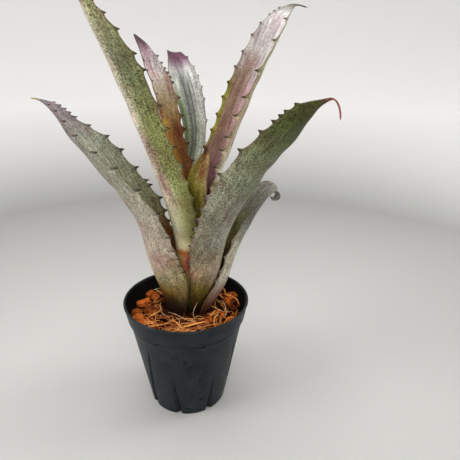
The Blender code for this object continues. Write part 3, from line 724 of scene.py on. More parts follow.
def smooth_read(knots, values, at):
    """Values between the knots by a natural cubic spline, column by column.

    The second derivatives at the knots solve a three-banded system that keeps the slope even
    there, and are zero at both ends. Between two knots the value is the straight line's, plus a
    cubic of each end's second derivative.
    """
    count = len(knots)
    gaps = np.diff(knots)
    system = np.zeros((count, count))
    right = np.zeros_like(values)
    system[0, 0] = system[-1, -1] = 1
    for i in range(1, count - 1):
        system[i, i - 1 : i + 2] = gaps[i - 1], 2 * (gaps[i - 1] + gaps[i]), gaps[i]
    right[1:-1] = 6 * np.diff(np.diff(values, axis=0) / gaps[:, None], axis=0)
    bend = np.linalg.solve(system, right)
    k = np.clip(np.searchsorted(knots, at, side="right") - 1, 0, count - 2)
    gap = gaps[k][:, None]
    a = ((knots[k + 1] - at) / gaps[k])[:, None]
    b = 1 - a
    line = a * values[k] + b * values[k + 1]
    return line + ((a**3 - a) * bend[k] + (b**3 - b) * bend[k + 1]) * gap**2 / 6


thread_stops = np.array(ROOT_THREADS, float)
thread_knots = np.linspace(0, 1, thread_stops.shape[1])
thread_at = np.linspace(0, 1, THREAD_STEPS)
thread_paths = np.array([smooth_read(thread_knots, stops, thread_at) for stops in thread_stops])
thread_radius = np.full(len(ROOT_THREADS), THREAD_RADIUS)
thread_points, thread_faces = strands(thread_paths, thread_radius, THREAD_SIDES)

# Dry root skin: papery, cream to straw in patches of about 6 mm, with a slight gloss.
root_skin, root_skin_shader = new_material("dry_root_skin")
root_place = add_node(root_skin, "TexCoord", {})["Object"]
root_patch = add_node(root_skin, "TexNoise", {"Vector": root_place, "Scale": 180.0, "Detail": 2.0})["Fac"]
root_colour = add_node(
    root_skin,
    "Mix",
    {"Factor": root_patch, "A": linear("#a87c4c"), "B": linear("#e4c698")},
    data_type="RGBA",
)["Result"]
set_inputs(root_skin, root_skin_shader, {"Base Color": root_colour, "Roughness": 0.5})
threads = make_piece("root_threads", thread_points, thread_faces, root_skin, sharp_angle=60)
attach(threads, "root")

# The stem base: the short woody stem that carries the leaves. It sits in the medium and hardly
# shows between the leaf bases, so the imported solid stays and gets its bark.

# Stem bark: dull and brown, with an upright grain of about 1.4 by 4.5 mm.
bark, bark_shader = new_material("bromeliad_stem_bark")
bark_place = add_node(bark, "TexCoord", {})["Object"]
bark_stretch = add_node(bark, "Mapping", {"Vector": bark_place, "Scale": (700.0, 700.0, 220.0)})["Vector"]
bark_grain = add_node(bark, "TexNoise", {"Vector": bark_stretch, "Scale": 1.0, "Detail": 4.0})["Fac"]
bark_colour = add_node(
    bark, "Mix", {"Factor": bark_grain, "A": linear("#241607"), "B": linear("#6a5228")}, data_type="RGBA"
)["Result"]
bark_bump = add_node(bark, "Bump", {"Height": bark_grain, "Strength": 0.6, "Distance": 0.0004})["Normal"]
set_inputs(bark, bark_shader, {"Base Color": bark_colour, "Roughness": 0.75, "Normal": bark_bump})
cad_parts["stem_base"].material_slots[0].material = bark

# The outer left leaf: the lowest and widest, arching to the left with its channel turned up.
# Like all the leaves it is one stiff blade, thickest along the midrib, that clasps the stem and
# ends in a point, with hooked horny spines on broad green bases along both margins.
BLADE_THICKNESS = 1.6
MARGIN_THICKNESS = 0.7
RIM_THICKNESS = 0.14
FULL_HALF_WIDTH = 12.0
LEAST_HALF_WIDTH = 0.4
ROW_STEP = 0.42
BLADE_COLUMNS = 29
ROUND_RIM_FROM = 0.93
END_TAPER = 1.5
END_LEAST_SHARE = 0.2
WIDER_FADE = 0.1
GROWTH_STEP = 0.001
SPINE_ZONE_FROM = 0.74
SPINE_ZONE_POWER = 2.2
SPINE_BASE_HEIGHT = 2.2
SPINE_HORN_HEIGHT = 2.2
SPINE_BASE_REACH = 6.5
SPINE_HORN_REACH = 1.5
SPINE_LEAST_HORN = 0.6
SPINE_BASE_SHARE = 0.62
SPINE_BASE_POWER = 2.0
SPINE_HORN_POWER = 1.15
SPINE_FOOT_SIZE = 0.45
SPINE_GROWTH = 1.1
SPINE_SHRINK_FROM = 0.66
SPINE_SHRINK_OVER = 0.34
SPINE_TIP_LOSS = 0.5
SPINE_FULL_SPACING = 7.0
SPINE_END_SPACING = 12.0
SPINE_LEAST_ROOM = 0.4
SPINE_FULL_HALF_WIDTH = 4.0
SPINE_LEAST_SHARE = 0.25
HORN_TONE_GAIN = 2.0
HORN_TONE_FROM = 0.35
HORN_TONE_ON_BASE = 0.6
UNDULATION = 0.35
UNDULATION_LENGTH = 26.0
UNDULATION_FROM = 0.3
UNDULATION_HALF_WIDTH = 10.0
STRIPE_FADE = 0.06
RIM_TONE_FROM = 0.9
PLAIN_PATTERN = 0.25
PLAIN_FADE = 0.14
FACE_MAPS_APART = 200.0


def spine_heights(along, spines, length):
    """Height of the margin above its plain line at each place, and how horny it is, 0 to 1.

    Each spine is a broad base whose edge falls off as a power of the distance, which leaves round
    scallops between spines, and a narrow horn on it. Spines shrink to the tip and to the base.
    """
    spines = np.array(spines, float)
    gaps = np.diff(spines)
    spacing = np.minimum(np.append(gaps, SPINE_END_SPACING), np.append(SPINE_END_SPACING, gaps))
    share = spines / length
    towards_tip = np.clip((share - SPINE_SHRINK_FROM) / SPINE_SHRINK_OVER, 0, 1)
    size = np.clip(SPINE_FOOT_SIZE + SPINE_GROWTH * share, 0, 1) * (1 - SPINE_TIP_LOSS * towards_tip)
    off = np.abs(along[:, None] - spines[None])
    base_reach = np.minimum(SPINE_BASE_REACH, spacing * SPINE_BASE_SHARE)
    base = np.clip(1 - off / base_reach, 0, 1) ** SPINE_BASE_POWER
    horn_reach = SPINE_HORN_REACH * (SPINE_LEAST_HORN + (1 - SPINE_LEAST_HORN) * size)
    horn = np.clip(1 - off / horn_reach, 0, 1) ** SPINE_HORN_POWER
    room = np.clip(spacing / SPINE_FULL_SPACING, SPINE_LEAST_ROOM, 1)
    height = size * (SPINE_BASE_HEIGHT * base * room + SPINE_HORN_HEIGHT * horn)
    return height.max(axis=1), np.maximum(horn, HORN_TONE_ON_BASE * base**2).max(axis=1)


def read_margins(margins, rows, across, length):
    """For each point, what its own margin gives: height, horn, spine size, lean and curl."""
    readings = []
    for margin in margins:
        height, horn = spine_heights(np.linspace(0, length, rows), margin["spines"], length)
        even = [np.full(rows, margin[key]) for key in ("size", "lean", "curl")]
        readings.append(np.repeat([height, horn, *even], BLADE_COLUMNS, axis=1))
    left, right = readings
    return np.where(across > 0, right, left)


def blade_surface(stations, lean, wider, along, across):
    """Points of a blade's middle surface, its directions there and its half width.

    The midrib is a smooth curve through the stations (x, y, z, half width, bend, roll). Each
    section is an arc of a circle that bends up from the midrib to both margins; along runs 0 to 1
    from base to tip, across -1 to 1 from margin to margin. Where one half is wider (side, from, to,
    extra), its arc runs on by that share. The directions are to the side along the section, out
    of the inner face, and along the growth.
    """
    reach = np.ones_like(along)
    for wide_side, start, end, extra in wider:
        window = np.clip((along - start) / WIDER_FADE + 0.5, 0, 1)
        window *= np.clip((end - along) / WIDER_FADE + 0.5, 0, 1)
        reach += extra * window**2 * (3 - 2 * window) * (across * wide_side > 0)
    stations = np.array(stations, float)
    steps = np.linalg.norm(np.diff(stations[:, :3], axis=0), axis=1)
    knots = np.concatenate([[0], np.cumsum(steps)]) / steps.sum()
    read = smooth_read(knots, stations, along)
    ahead = smooth_read(knots, stations[:, :3], np.minimum(along + GROWTH_STEP, 1))
    behind = smooth_read(knots, stations[:, :3], np.maximum(along - GROWTH_STEP, 0))
    growth = unit(ahead - behind)
    heading = math.radians(lean)
    sideways = np.array([-math.sin(heading), math.cos(heading), 0.0])
    side = unit(sideways - (growth @ sideways)[:, None] * growth)
    inward = np.cross(growth, side)
    roll = np.radians(read[:, 5])[:, None]
    c, s = np.cos(roll), np.sin(roll)
    side, inward = side * c + inward * s, inward * c - side * s
    half = np.maximum(read[:, 3], LEAST_HALF_WIDTH)
    bend = np.radians(read[:, 4])
    turn = (bend * across * reach)[:, None]
    radius = (half / bend)[:, None]
    points = read[:, :3] + side * radius * np.sin(turn) + inward * radius * (1 - np.cos(turn))
    sideward = side * np.cos(turn) + inward * np.sin(turn)
    normal = inward * np.cos(turn) - side * np.sin(turn)
    return points, sideward, normal, growth, half


def blade_thickness(along, across, half, length):
    """Thickness in mm: most at the midrib, less towards the margins as the square of across.

    The last strip at the margins is rounded off as the root of what is left of it, and both ends
    of the blade taper off.
    """
    body = np.clip(half / FULL_HALF_WIDTH, 0, 1) * (1 - across**2)
    thickness = MARGIN_THICKNESS + (BLADE_THICKNESS - MARGIN_THICKNESS) * body
    past_rim = np.clip((np.abs(across) - ROUND_RIM_FROM) / (1 - ROUND_RIM_FROM), 0, 1)
    thickness = RIM_THICKNESS + (thickness - RIM_THICKNESS) * np.sqrt(1 - past_rim)
    return thickness * np.clip(np.minimum(along, 1 - along) * length / END_TAPER, END_LEAST_SHARE, 1)


def blade_faces(rows, columns):
    """Quads of the inner face, the outer face turned the other way, and the strip round the edge."""
    row, column = np.meshgrid(np.arange(rows - 1), np.arange(columns - 1), indexing="ij")
    a = row * columns + column
    inner = np.stack([a, a + 1, a + columns + 1, a + columns], axis=-1).reshape(-1, 4)
    other = rows * columns
    outer = inner[:, ::-1] + other
    grid = np.arange(other).reshape(rows, columns)
    border = np.concatenate([grid[0], grid[1:, -1], grid[-1, -2::-1], grid[-2:0:-1, 0]])
    ahead = np.roll(border, -1)
    strip = np.stack([border, border + other, ahead + other, ahead], axis=-1)
    return inner.tolist() + outer.tolist() + strip.tolist()


def paint(along, across, ground, stripes=(), patches=()):
    """Colours of one face of a blade, as sRGB.

    ground is read from base to tip by straight lines between its colours. A stripe (colour, across,
    half width, from, to, strength) runs along the blade, fades in and out at its ends, and fades to
    its sides as a bell curve. A patch (colour, along, across, length, width, strength) is a soft
    spot that fades as a bell curve all round.
    """
    stops = np.array([stop for stop, _ in ground])
    tones = np.array([srgb(tone) for _, tone in ground])
    colours = np.stack([np.interp(along, stops, tones[:, k]) for k in range(3)], axis=-1)
    for tone, middle, width, start, end, strength in stripes:
        window = np.clip((along - start) / STRIPE_FADE + 0.5, 0, 1)
        window *= np.clip((end - along) / STRIPE_FADE + 0.5, 0, 1)
        weight = strength * window * np.exp(-(((across - middle) / width) ** 2))
        colours += (srgb(tone) - colours) * weight[:, None]
    for tone, place, middle, length, width, strength in patches:
        bell = np.exp(-(((along - place) / length) ** 2) - ((across - middle) / width) ** 2)
        colours += (srgb(tone) - colours) * (strength * bell)[:, None]
    return np.clip(colours, 0, 1)


def skin_values(along, across, inner, outer, rim, plain_to):
    """Each point's colour in linear light on both faces, with the strength of the pattern as alpha.

    The rim's colour comes in over the outermost tenth. The pattern is faint where the young
    sheath is smooth, and rises to full strength over the fade that ends at the share plain_to.
    """
    rim_tone, rim_strength = rim
    at_rim = rim_strength * np.clip((np.abs(across) - RIM_TONE_FROM) / (1 - RIM_TONE_FROM), 0, 1)[:, None]
    painted = [paint(along, across, **face) for face in (inner, outer)]
    skin = np.concatenate([face + (srgb(rim_tone) - face) * at_rim for face in painted])
    pattern = PLAIN_PATTERN + (1 - PLAIN_PATTERN) * np.clip((along - plain_to) / PLAIN_FADE + 1, 0, 1)
    return np.concatenate([to_linear(skin), np.tile(pattern, 2)[:, None]], axis=1)


def make_leaf(name, material, lean, stations, margins, inner, outer, rim, seed, wider=(), plain_to=0.0):
    """A closed blade with its spines, its colours on both faces and a map in mm over it.

    The two faces lie half a thickness to each side of the middle surface. Each margin gives its
    spines' places in mm from the base, their size, how far their tips lean towards the leaf's tip
    as a share of their height, and by how many degrees they curl over the inner face. Points near
    the margin move that way by the spine's height, more towards the edge. The blade then waves a
    little out of its surface.
    """
    length = float(np.linalg.norm(np.diff(np.array(stations)[:, :3], axis=0), axis=1).sum())
    rows = int(length / ROW_STEP)
    columns = np.sin(np.linspace(-1, 1, BLADE_COLUMNS) * np.pi / 2)
    along = np.repeat(np.linspace(0, 1, rows), BLADE_COLUMNS)
    across = np.tile(columns, rows)
    points, sideward, normal, growth, half = blade_surface(stations, lean, wider, along, across)

    height, horn, size, tip_lean, curl = read_margins(margins, rows, across, length)
    zone = np.clip((np.abs(across) - SPINE_ZONE_FROM) / (1 - SPINE_ZONE_FROM), 0, 1) ** SPINE_ZONE_POWER
    out = height * zone * np.clip(half / SPINE_FULL_HALF_WIDTH, SPINE_LEAST_SHARE, 1) * size
    curl = np.radians(curl)
    outward = sideward * (np.sign(across) * np.cos(curl))[:, None] + normal * np.sin(curl)[:, None]
    points = points + (outward + growth * tip_lean[:, None]) * out[:, None]

    place = np.stack([across * half, along * length], axis=-1)
    wave = ripples(place + seed * 50, UNDULATION_LENGTH, seed)
    wave *= np.clip((along - UNDULATION_FROM) / UNDULATION_FROM, 0, 1)
    points = points + normal * (UNDULATION * wave * np.clip(half / UNDULATION_HALF_WIDTH, 0, 1))[:, None]

    offset = normal * blade_thickness(along, across, half, length)[:, None] / 2
    both = np.concatenate([points + offset, points - offset])
    leaf = make_piece(name, both, blade_faces(rows, BLADE_COLUMNS), material, sharp_angle=75)
    set_attribute(leaf, "skin", "FLOAT_COLOR", skin_values(along, across, inner, outer, rim, plain_to))
    horny = np.clip(horn * zone * size * HORN_TONE_GAIN - HORN_TONE_FROM, 0, 1)
    set_attribute(leaf, "horn", "FLOAT", np.tile(horny, 2))
    corner = np.empty(len(leaf.data.loops), np.int32)
    leaf.data.loops.foreach_get("vertex_index", corner)
    maps = np.concatenate([place, place + (FACE_MAPS_APART, 0.0)])
    leaf.data.uv_layers.new(name="blade").data.foreach_set("uv", maps[corner].ravel())
    return leaf


def leaf_skin(name, speckle, speckle_share, blush, blush_share, scurf_share, roughness):
    """Living leaf skin: waxy and satin, with veins, pale scurf, dark speckles and soft blotches.

    The skin's own colours come from the blade. Veins are about 1.2 mm apart. Each cell of scurf is
    one of the leaf's scales, about 0.3 mm across and drawn at 0.6 mm so that it shows, as are the
    speckles at 0.9 by 1.4 mm. Blotches are streaks of about 2.4 by 10 mm, and blush and crowds of
    speckles lie in clouds of 10 to 12 mm.
    """
    material, shader = new_material(name)
    on_blade = add_node(material, "UVMap", {}, uv_map="blade")["UV"]
    in_space = add_node(material, "TexCoord", {})["Object"]
    skin_read = add_node(material, "Attribute", {}, attribute_name="skin")
    skin, pattern = skin_read["Color"], skin_read["Alpha"]
    vein_place = add_node(material, "Mapping", {"Vector": on_blade, "Scale": (0.8, 0.035, 1.0)})["Vector"]
    veins = add_node(
        material, "TexNoise", {"Vector": vein_place, "Scale": 1.0, "Detail": 3.0, "Roughness": 0.6}
    )["Fac"]
    vein_tone = add_node(
        material,
        "MapRange",
        {"Value": veins, "From Min": 0.3, "From Max": 0.7, "To Min": 0.74, "To Max": 1.26},
    )["Result"]
    scales = add_node(material, "TexVoronoi", {"Vector": on_blade, "Scale": 1.6})["Color"]
    scale_draw = add_node(material, "SeparateColor", {"Color": scales})["Red"]
    scale_tone = add_node(
        material, "MapRange", {"Value": scale_draw, "To Min": 1 - scurf_share, "To Max": 1 + scurf_share}
    )["Result"]
    blotch_place = add_node(material, "Mapping", {"Vector": on_blade, "Scale": (0.42, 0.1, 1.0)})["Vector"]
    blotch = add_node(
        material, "TexNoise", {"Vector": blotch_place, "Scale": 1.0, "Detail": 4.0, "Roughness": 0.6}
    )["Fac"]
    blotch_tone = add_node(
        material,
        "MapRange",
        {"Value": blotch, "From Min": 0.3, "From Max": 0.7, "To Min": 0.66, "To Max": 1.34},
    )["Result"]
    fine_tone = add_node(material, "Math", {0: vein_tone, 1: scale_tone}, operation="MULTIPLY")["Value"]
    full_tone = add_node(material, "Math", {0: fine_tone, 1: blotch_tone}, operation="MULTIPLY")["Value"]
    contrast = add_node(material, "Math", {0: full_tone, 1: 1.0}, operation="SUBTRACT")["Value"]
    tone = add_node(material, "Math", {0: contrast, 1: pattern, 2: 1.0}, operation="MULTIPLY_ADD")["Value"]
    toned = add_node(material, "VectorMath", {0: skin, "Scale": tone}, operation="SCALE")["Vector"]
    cloud = add_node(material, "TexNoise", {"Vector": in_space, "Scale": 80.0, "Detail": 4.0})["Fac"]
    blush_at = add_node(
        material, "MapRange", {"Value": cloud, "From Min": 0.5, "From Max": 0.66, "To Max": blush_share}
    )["Result"]
    blushed = add_node(
        material,
        "Mix",
        {"Factor": blush_at, "A": toned, "B": linear(blush)},
        data_type="RGBA",
        blend_type="MULTIPLY",
    )["Result"]
    dot_place = add_node(material, "Mapping", {"Vector": on_blade, "Scale": (1.1, 0.7, 1.0)})["Vector"]
    dots = add_node(
        material, "TexNoise", {"Vector": dot_place, "Scale": 1.0, "Detail": 2.0, "Roughness": 0.7}
    )["Fac"]
    dot_at = add_node(
        material, "MapRange", {"Value": dots, "From Min": 0.5, "From Max": 0.62, "To Max": speckle_share}
    )["Result"]
    crowd = add_node(material, "TexNoise", {"Vector": in_space, "Scale": 95.0, "Detail": 2.0})["Fac"]
    crowd_at = add_node(
        material, "MapRange", {"Value": crowd, "From Min": 0.38, "From Max": 0.6, "To Min": 0.25}
    )["Result"]
    crowded_at = add_node(material, "Math", {0: dot_at, 1: crowd_at}, operation="MULTIPLY")["Value"]
    dotted_at = add_node(material, "Math", {0: crowded_at, 1: pattern}, operation="MULTIPLY")["Value"]
    dotted = add_node(
        material, "Mix", {"Factor": dotted_at, "A": blushed, "B": linear(speckle)}, data_type="RGBA"
    )["Result"]
    horn_at = add_node(material, "Attribute", {}, attribute_name="horn")["Fac"]
    horned = add_node(
        material, "Mix", {"Factor": horn_at, "A": dotted, "B": linear("#2b1a14")}, data_type="RGBA"
    )["Result"]
    gloss = add_node(
        material, "MapRange", {"Value": blotch, "To Min": roughness - 0.16, "To Max": roughness + 0.16}
    )["Result"]
    relief = add_node(material, "Math", {0: veins, 1: 2.0, 2: dots}, operation="MULTIPLY_ADD")["Value"]
    bump = add_node(material, "Bump", {"Height": relief, "Strength": 0.5, "Distance": 0.0006})["Normal"]
    finish = {
        "Base Color": horned,
        "Specular IOR Level": 0.15,
        "Roughness": gloss,
        "Normal": bump,
    }
    set_inputs(material, shader, finish)
    return material


outer_left = make_leaf(
    "outer_left_blade",
    leaf_skin("outer_left_living_leaf", "#2c2a1e", 0.5, "#e6cace", 0.7, 0.46, 0.52),
    lean=180,
    stations=[
        (-12, 5, 65, 20, 78, 0),
        (-15, 5, 77, 26, 88, 0),
        (-20, 3, 93, 30, 84, 15),
        (-26, 2, 114, 31, 78, 16),
        (-32, 0, 143, 30, 70, 9),
        (-46, -2, 168, 25, 65, 5),
        (-60, -3, 189, 19, 60, -5),
        (-72, -4, 206, 10, 50, -8),
        (-81, -4, 218, 4, 40, -9),
        (-86, -4, 221, 1, 30, -10),
        (-91, -4, 222, 0.5, 30, -10),
    ],
    wider=[(-1, 0.1, 0.34, 0.16)],
    margins=[
        {
            "spines": (44, 50, 57, 65, 73, 82, 92, 96, 108, 124, 136, 148, 157, 161, 164, 167, 170),
            "size": 1.0,
            "lean": -0.55,
            "curl": 0.0,
        },
        {
            "spines": (40, 46, 54, 62, 72, 86, 102, 120, 134, 148, 158, 165, 170),
            "size": 1.0,
            "lean": -0.45,
            "curl": 65.0,
        },
    ],
    inner={
        "ground": [
            (0, "#2a1a08"),
            (0.3, "#6c421a"),
            (0.42, "#807a58"),
            (0.55, "#8c8e72"),
            (0.75, "#9a9e8a"),
            (0.88, "#8e8688"),
            (0.965, "#86767a"),
            (1, "#c4b458"),
        ],
        "stripes": [("#9c9a86", -0.25, 0.16, 0.5, 0.9, 0.4), ("#a3a08e", 0.75, 0.25, 0.4, 0.7, 0.5)],
        "patches": [("#8a4a14", 0.27, -0.6, 0.05, 0.35, 0.6)],
    },
    outer={
        "ground": [
            (0, "#140a04"),
            (0.1, "#1a0c04"),
            (0.135, "#482c06"),
            (0.16, "#6e5628"),
            (0.19, "#a4906e"),
            (0.3, "#b2a492"),
            (0.6, "#929280"),
            (0.85, "#827c76"),
            (0.965, "#7e6e72"),
            (1, "#c4b458"),
        ],
        "stripes": [("#7d7550", 0.85, 0.16, 0.1, 0.3, 0.6)],
        "patches": [
            ("#6f7a4a", 0.2, 0.45, 0.05, 0.18, 0.45),
            ("#946a68", 0.27, 0.5, 0.04, 0.14, 0.4),
            ("#8f7472", 0.42, 0.3, 0.08, 0.2, 0.35),
            ("#2c2a1c", 0.125, 0.12, 0.008, 0.04, 0.8),
        ],
    },
    rim=("#5e5440", 0.35),
    seed=1,
)
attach(outer_left, "root")
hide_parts("leaf_outer_left")

# The outer right leaf: short, behind the front right one, with its tip dried and rolled under.
# It arches out to the right from under the others, its channel turned up.
outer_right = make_leaf(
    "outer_right_blade",
    leaf_skin("outer_right_living_leaf", "#26261c", 0.6, "#e2ccc2", 0.6, 0.46, 0.55),
    lean=5,
    stations=[
        (15, 6, 65, 13, 60, 0),
        (19, 6, 77, 18, 65, 0),
        (27, 9, 91, 18, 74, 5),
        (33, 11, 110, 17, 68, 7),
        (40, 13, 128, 18, 65, 6),
        (49, 16, 145, 16, 60, 7),
        (55, 18, 154, 13, 50, 8),
        (59, 19, 158, 11, 45, 8),
        (62, 19, 158, 8, 40, 4),
        (63, 19, 155, 6, 35, 0),
        (61, 19, 153, 3, 30, 0),
        (59, 19, 155, 0.5, 30, 0),
    ],
    margins=[
        {"spines": (33, 42, 53, 65, 78, 90), "size": 0.7, "lean": 0.0, "curl": 0.0},
        {"spines": (36, 47, 59, 70, 82, 93), "size": 0.6, "lean": 0.0, "curl": 0.0},
    ],
    inner={
        "ground": [
            (0, "#1c1004"),
            (0.35, "#40341a"),
            (0.55, "#6a6636"),
            (0.75, "#7c7a6c"),
            (0.92, "#84847c"),
            (1, "#6a5a48"),
        ],
        "stripes": [("#8a8880", 0.05, 0.12, 0.55, 0.95, 0.5)],
    },
    outer={
        "ground": [
            (0, "#2c160c"),
            (0.1, "#50321c"),
            (0.2, "#988270"),
            (0.35, "#b6b2a0"),
            (0.5, "#acac98"),
            (0.7, "#62625a"),
            (0.86, "#6c6c64"),
            (1, "#a8a8a0"),
        ],
        "patches": [("#8a6a6c", 0.16, -0.6, 0.05, 0.3, 0.5)],
    },
    rim=("#6a5644", 0.4),
    seed=2,
)
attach(outer_right, "root")
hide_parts("leaf_outer_right")

# The front right leaf: broad, arching to the front right with its back to the viewer, and dark
# green towards its thin red tip.
front_right = make_leaf(
    "front_right_blade",
    leaf_skin("front_right_living_leaf", "#1e2612", 0.8, "#dcbcb4", 0.6, 0.46, 0.5),
    lean=-40,
    stations=[
        (11, -2, 68, 6, 30, 0),
        (13, -4, 80, 9, 40, 0),
        (15, -5, 89, 12, 62, -5),
        (18, -7, 99, 15, 75, -8),
        (22, -10, 118, 19, 75, -2),
        (28, -15, 140, 22, 65, 6),
        (39, -23, 166, 23, 60, 0),
        (51, -32, 189, 20, 55, -5),
        (64, -41, 209, 15, 50, -10),
        (72, -47, 222, 8, 45, -17),
        (79, -51, 228, 2, 35, -20),
        (82, -53, 229, 1, 30, -20),
        (85, -54, 225, 1, 30, -20),
        (86, -55, 219, 0.5, 30, -20),
    ],
    margins=[
        {
            "spines": (38, 46, 55, 62, 70, 77, 84, 92, 101, 111, 118, 136, 152, 161, 165, 168, 173),
            "size": 0.9,
            "lean": -0.1,
            "curl": 0.0,
        },
        {
            "spines": (40, 52, 64, 76, 88, 100, 112, 124, 136, 147, 157, 165, 171),
            "size": 0.6,
            "lean": 0.0,
            "curl": 60.0,
        },
    ],
    wider=[(-1, 0.08, 0.24, 0.12)],
    inner={
        "ground": [
            (0, "#2a1808"),
            (0.3, "#4a4020"),
            (0.5, "#6a6844"),
            (0.88, "#5e6040"),
            (0.95, "#7a4a40"),
            (1, "#b8564e"),
        ],
        "stripes": [("#8c8a74", 0.0, 0.3, 0.4, 0.9, 0.4)],
    },
    outer={
        "ground": [
            (0, "#180c06"),
            (0.06, "#2a1404"),
            (0.12, "#62541c"),
            (0.2, "#9c8864"),
            (0.35, "#98988a"),
            (0.5, "#949884"),
            (0.65, "#808468"),
            (0.82, "#4a522a"),
            (0.91, "#484824"),
            (0.94, "#944e44"),
            (1, "#b8564e"),
        ],
        "stripes": [
            # Partly the margin's pale colour, partly a painted highlight on its edge: a thin pale stripe
            # along one margin.
            ("#b3b29f", 0.92, 0.09, 0.2, 0.75, 0.55),
            ("#5e624a", 0.05, 0.4, 0.46, 0.68, 0.45),
            ("#6e6450", -0.8, 0.4, 0.22, 0.48, 0.55),
        ],
        "patches": [
            ("#9a868a", 0.2, 0.1, 0.06, 0.5, 0.5),
            ("#8a5060", 0.17, -0.85, 0.05, 0.2, 0.4),
            ("#7a6a6a", 0.5, -0.3, 0.05, 0.2, 0.35),
        ],
    },
    rim=("#6a4a44", 0.45),
    seed=3,
)
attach(front_right, "root")
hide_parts("leaf_front_right")

# The front left leaf: the tallest, narrow, its back to the viewer. Its left half is silvery, and
# painted paler still with light, and its right half green, and its sheath ends in a cream band
# above the soil.
front_left = make_leaf(
    "front_left_blade",
    leaf_skin("front_left_living_leaf", "#20280e", 0.85, "#dcc0c4", 0.6, 0.48, 0.48),
    lean=-125,
    stations=[
        (-2, -2, 72, 8, 55, 0),
        (-3, -4, 87, 12, 62, 0),
        (-3, -5, 104, 12, 72, 0),
        (-2, -6, 122, 12, 75, 0),
        (-3, -9, 138, 13, 72, 3),
        (-6, -14, 157, 14, 66, 1),
        (-12, -20, 181, 14, 60, -3),
        (-20, -28, 210, 13, 55, -2),
        (-27, -35, 235, 13, 50, 0),
        (-33, -41, 253, 10, 45, 0),
        (-39, -47, 268, 6, 40, 0),
        (-43, -51, 280, 2, 35, 0),
        (-45, -53, 288, 0.5, 30, 0),
    ],
    margins=[
        {
            "spines": (70, 82, 94, 106, 118, 130, 142, 153, 164, 175, 185, 195, 203, 210),
            "size": 0.6,
            "lean": -0.4,
            "curl": 60.0,
        },
        {
            "spines": (66, 78, 90, 102, 114, 128, 140, 154, 174, 183, 196, 205, 212),
            "size": 0.85,
            "lean": -0.6,
            "curl": 0.0,
        },
    ],
    inner={
        "ground": [
            (0, "#5a4a20"),
            (0.4, "#70683c"),
            (0.7, "#86866a"),
            (1, "#a8a05a"),
        ],
        "stripes": [("#a8a692", 0.0, 0.35, 0.4, 0.95, 0.4)],
    },
    outer={
        "ground": [
            (0, "#2a240e"),
            (0.08, "#5a5220"),
            (0.18, "#8a8238"),
            (0.3, "#7c7c46"),
            (0.45, "#888e54"),
            (0.6, "#82884e"),
            (0.8, "#6b7152"),
            (0.92, "#a0a074"),
            (1, "#b8b070"),
        ],
        "stripes": [
            # Partly silvery scurf, partly painted light: three pale stripes over the left half, the lowest
            # near white.
            ("#f2ecc8", -0.2, 0.6, 0.2, 0.46, 0.95),
            ("#e0d0c0", -0.35, 0.45, 0.44, 0.72, 0.9),
            ("#dccebc", -0.45, 0.5, 0.66, 0.98, 0.85),
            ("#84605c", 0.08, 0.16, 0.36, 0.6, 0.45),
            ("#9c9866", 0.95, 0.12, 0.3, 0.9, 0.6),
        ],
        "patches": [
            ("#84606a", 0.56, -0.1, 0.05, 0.25, 0.35),
            ("#8a646c", 0.46, 0.1, 0.05, 0.2, 0.5),
            ("#fff4c8", 0.245, 0.0, 0.022, 0.8, 0.8),
            ("#b85018", 0.216, 0.1, 0.01, 0.45, 0.95),
            ("#c0a050", 0.18, 0.1, 0.04, 0.3, 0.7),
            ("#a8283e", 0.182, 0.55, 0.032, 0.34, 0.95),
            ("#5a2a28", 0.93, -0.3, 0.01, 0.2, 0.7),
        ],
    },
    rim=("#3c3020", 0.5),
    seed=4,
    plain_to=0.44,
)
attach(front_left, "root")
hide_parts("leaf_front_left")

